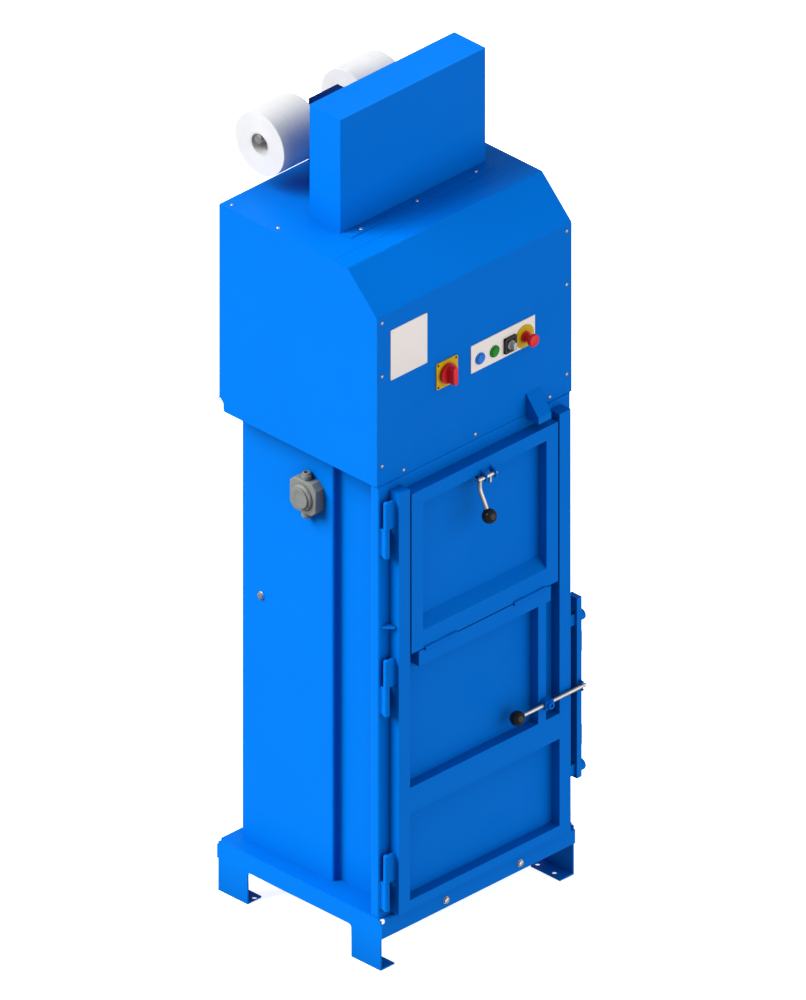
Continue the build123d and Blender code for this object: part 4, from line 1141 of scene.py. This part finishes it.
@dataclass
class ControlPanel(Assembly):
    """Buttons, selector, stop mushroom and main switch on the hood front."""

    face: float = -248.0
    hood_front: float = -246.0
    row_z: float = 1439.0
    blue_x: float = 15.6
    green_x: float = 60.6
    selector_x: float = 107.5
    stop_x: float = 155.6
    switch_center: Pair = (-88.0, 1445.0)
    switch_screw_inset: float = 28.0
    switch_plate_depth: float = 3.0
    cap_lift: float = 3.5
    stop_lift: float = 4.3

    def ring(self) -> Shape:
        """Ring round a push button.

        Returns:
            The ring, its back on Z zero.
        """
        return turned(
            [(11.0, 0.0), (14.5, 0.0), (14.5, 2.0), (13.8, 3.1), (12.9, 3.5), (11.6, 3.4), (11.0, 2.9)],
            steps=40,
            closed=True,
        )

    def cap(self) -> Shape:
        """Flat cap of a push button with its stem behind it.

        Returns:
            The cap, its back on Z zero.
        """
        return turned(
            [
                (0.0, -36.0), (4.0, -36.0), (4.0, 0.0), (10.7, 0.0), (10.7, 0.7), (10.3, 1.3),
                (9.6, 1.5), (8.0, 1.35), (5.0, 1.1), (0.0, 1.0),
            ],
            steps=40,
        )

    def mushroom(self) -> Shape:
        """Stop mushroom: a neck that flares into a low round head, and its stem.

        Returns:
            The mushroom, the foot of its neck on Z zero.
        """
        return turned(
            [
                (0.0, -36.0), (4.0, -36.0), (4.0, 0.0), (9.2, 0.0), (9.2, 15.6), (9.8, 17.4),
                (11.4, 18.4), (13.9, 18.7), (14.7, 19.3), (15.0, 20.4), (15.0, 25.7), (14.6, 27.2),
                (13.5, 28.3), (12.0, 28.7), (0.0, 28.7),
            ],
            steps=48,
        )

    def build_buttons(self) -> None:
        """Build the two push buttons with their rings."""
        for name, x, slot, body in (
            ("blue", self.blue_x, Slot.BLUE_PLASTIC, Body.BLUE_BUTTON),
            ("green", self.green_x, Slot.GREEN_PLASTIC, Body.GREEN_BUTTON),
        ):
            seat = facing((x, self.face, self.row_z), Facing.FRONT)
            Piece(f"{name}_button_ring").add(self.ring(), seat).finish(self.finishes, slot, Body.FRAME)
            front = seat @ Matrix.Translation((0.0, 0.0, self.cap_lift))
            cap = Piece(f"{name}_button_cap").add(self.cap(), front)
            cap.finish(self.finishes, slot, body, replaces=(f"{name}_button",))

    def build_selector(self) -> None:
        """Build the selector's square frame."""
        place = facing((self.selector_x, self.face, self.row_z), Facing.FRONT)
        frame = Piece("selector_frame")
        collar: Profile = [(11.0, 0.0), (14.2, 0.0), (14.2, 8.0), (13.4, 8.0), (11.8, 7.4), (11.0, 6.6)]
        frame.add(turned(collar, steps=40, closed=True), place)
        for size, side, level in (
            ((36.0, 6.0, 7.6), 0.0, 16.0),
            ((36.0, 6.0, 7.6), 0.0, -16.0),
            ((6.4, 38.0, 7.4), 14.8, 0.0),
            ((6.4, 38.0, 7.4), -14.8, 0.0),
        ):
            frame.add(plate(size, corner=1.6, edge=0.9), place @ Matrix.Translation((side, level, 0.0)))
        frame.finish(self.finishes, Slot.DARK_PLASTIC, Body.FRAME, replaces=("control_bezels",))

    def build_stop(self) -> None:
        """Build the stop mushroom, its sleeve and its disc."""
        place = facing((self.stop_x, self.face, self.row_z), Facing.FRONT)
        disc: Profile = [(9.5, 0.0), (28.5, 0.0), (28.5, 1.3), (27.8, 2.0), (9.5, 2.0)]
        base = Piece("stop_disc").add(turned(disc, steps=64, closed=True), place)
        base.finish(self.finishes, Slot.YELLOW_PLASTIC, Body.FRAME, replaces=("estop_collar",))
        sleeve: Profile = [(9.5, 2.0), (13.0, 2.0), (13.0, 6.8), (12.2, 7.8), (9.5, 8.0)]
        collar = Piece("stop_sleeve").add(turned(sleeve, steps=48, closed=True), place)
        collar.finish(self.finishes, Slot.RED_PLASTIC, Body.FRAME)
        front = place @ Matrix.Translation((0.0, 0.0, self.stop_lift))
        head = Piece("stop_mushroom").add(self.mushroom(), front)
        head.finish(self.finishes, Slot.RED_PLASTIC, Body.STOP_BUTTON, replaces=("estop_button",))

    def build_switch(self) -> None:
        """Build the screws of the main switch's plate."""
        x, z = self.switch_center
        inset = self.switch_screw_inset
        plate_front = self.hood_front - self.switch_plate_depth
        places = [
            facing((x + side * inset, plate_front, z + level * inset), Facing.FRONT)
            for side in (-1, 1)
            for level in (-1, 1)
        ]
        head = turned([(0.0, 0.3), (1.0, 0.3), (1.2, 1.0), (2.4, 0.9), (3.1, 0.0), (0.0, 0.0)], steps=16)
        Piece("switch_plate_screws").add(head, *places).finish(self.finishes, Slot.DARK_PLASTIC, Body.FRAME)

    def build(self) -> None:
        """Build all the controls."""
        self.build_buttons()
        self.build_selector()
        self.build_stop()
        self.build_switch()


@dataclass
class HatchTrim(Assembly):
    """Weld beads of the lugs that carry the hatch lever's shaft."""

    lug_sides: Values = (-14.0, -10.0, 15.0, 19.0)
    lug_bottom: float = 1168.0
    lug_length: float = 9.0
    face: float = -279.0

    def build(self) -> None:
        """Build the beads."""
        places = [facing((x, self.face, self.lug_bottom), Facing.UP) for x in self.lug_sides]
        beads = Piece("hatch_lug_welds").add(bead(self.lug_length, radius=1.2, pitch=2.2), *places)
        beads.finish(self.finishes, Slot.BLUE_PAINT, Body.HATCH, crease=WELD_CREASE)


@dataclass
class DoorWelds(Assembly):
    """Weld beads where the door's rails meet its stiles and post."""

    inner_x: float = 235.0
    front: float = -279.0
    inset: float = 1.0
    length: float = 24.0
    post_sides: Values = (168.0, 192.0)
    post_bottom: float = 451.0
    post_top: float = 752.0
    mid_bottom: float = 386.0
    mid_height: float = 65.0
    bottom_rail: float = 138.0
    bottom_height: float = 25.0

    def build(self) -> None:
        """Build the beads on the door front."""
        rail_edges = (
            self.mid_bottom,
            self.mid_bottom + self.mid_height,
            self.bottom_rail + self.bottom_height,
        )
        joints = [(x, z) for x in (-self.inner_x, self.inner_x) for z in rail_edges]
        joints += [(x, z) for x in self.post_sides for z in (self.post_bottom, self.post_top)]
        places = [facing((x, self.front + self.inset, z), Facing.BACK) for x, z in joints]
        welds = Piece("door_rail_welds").add(bead(self.length, radius=1.5, pitch=2.6), *places)
        welds.finish(self.finishes, Slot.BLUE_PAINT, Body.DOOR, crease=WELD_CREASE)


@dataclass
class Studio:
    """Pale floor, soft lights and the camera of the photograph's angle."""

    aim: Point = (0.0109, -0.0109, 0.9805)
    back: Point = (-0.6124, -0.6124, 0.5)
    distance: float = 8.0
    far_clip: float = 100.0
    frame_height: float = 2.2222
    floor_size: float = 40.0
    floor_glow: float = 0.8
    floor_tones: tuple[Tone, Tone] = ((0.84, 0.84, 0.84), (0.87, 0.87, 0.87))
    floor_patches: float = 0.6
    ambient: float = 0.38
    key_from: Point = (-0.66, 0.42, 0.62)
    key_strength: float = 5.9
    key_softness: float = 40.0
    fill_from: Point = (0.25, -0.95, 0.05)
    fill_strength: float = 2.45
    fill_softness: float = 80.0

    def build_floor(self) -> None:
        """Lay the pale floor, which isn't part of the object."""
        shape = bmesh.new()
        bmesh.ops.create_grid(shape, x_segments=4, y_segments=4, size=self.floor_size / 2)
        mesh = bpy.data.meshes.new("floor")
        shape.to_mesh(mesh)
        shape.free()
        shader = Shader("pale_floor")
        shader.set(Specular_IOR_Level=0.1, Roughness=0.8, Emission_Strength=self.floor_glow)
        shader.set(Emission_Color=WHITE)
        tone = shader.tones(shader.noise(self.floor_patches, detail=2.0), *self.floor_tones)
        shader.link(tone, shader.surface.inputs["Base Color"])
        mesh.materials.append(shader.material)
        floor = bpy.data.objects.new("floor", mesh)
        floor.visible_diffuse = False
        floor.visible_glossy = False
        bpy.context.scene.collection.objects.link(floor)

    def add_sun(self, name: str, source: Point, strength: float, softness: float) -> None:
        """Set one soft far light.

        Args:
            name: Name of the light.
            source: Direction that the light comes from.
            strength: Strength of the light.
            softness: Angle in degrees that the light spreads over.
        """
        light = bpy.data.lights.new(name, "SUN")
        light.energy = strength
        light.angle = math.radians(softness)
        sun = bpy.data.objects.new(name, light)
        sun.rotation_mode = "QUATERNION"
        sun.rotation_quaternion = Vector(source).to_track_quat("Z", "Y")
        bpy.context.scene.collection.objects.link(sun)

    def build_lights(self) -> None:
        """Set an even sky, a soft key from behind on the left and a soft fill from the front."""
        world = bpy.data.worlds.new("sky")
        world.use_nodes = True
        sky = world.node_tree.nodes["Background"]
        sky.inputs["Color"].default_value = WHITE
        sky.inputs["Strength"].default_value = self.ambient
        bpy.context.scene.world = world
        self.add_sun("key", self.key_from, self.key_strength, self.key_softness)
        self.add_sun("fill", self.fill_from, self.fill_strength, self.fill_softness)

    def build_camera(self) -> None:
        """Set the camera at the photograph's angle."""
        scene = bpy.context.scene
        data = bpy.data.cameras.new("camera")
        data.type = "ORTHO"
        data.ortho_scale = self.frame_height
        data.clip_end = self.far_clip
        camera = bpy.data.objects.new("camera", data)
        back = Vector(self.back).normalized()
        camera.location = Vector(self.aim) + back * self.distance
        camera.rotation_mode = "QUATERNION"
        camera.rotation_quaternion = (-back).to_track_quat("-Z", "Y")
        scene.collection.objects.link(camera)
        scene.camera = camera
        scene.view_settings.view_transform = "Standard"

    def build(self) -> None:
        """Set the stage."""
        self.build_floor()
        self.build_lights()
        self.build_camera()


def main() -> None:
    """Load the frame, dress it and set the stage."""
    logging.basicConfig(level=logging.INFO, format="%(name)s %(message)s")
    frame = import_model()
    finishes = Finishes()
    finishes.make()
    finishes.dress_nodes(frame)
    for kind in (
        HoodTrim,
        StrapRolls,
        LeverKnobs,
        DoorLockScrews,
        FrameBolts,
        HingeTrim,
        JunctionBox,
        ControlPanel,
        HatchTrim,
        DoorWelds,
    ):
        log.info("building %s", kind.__name__)
        kind(finishes).build()
    Studio().build()


if __name__ == "__main__":
    main()
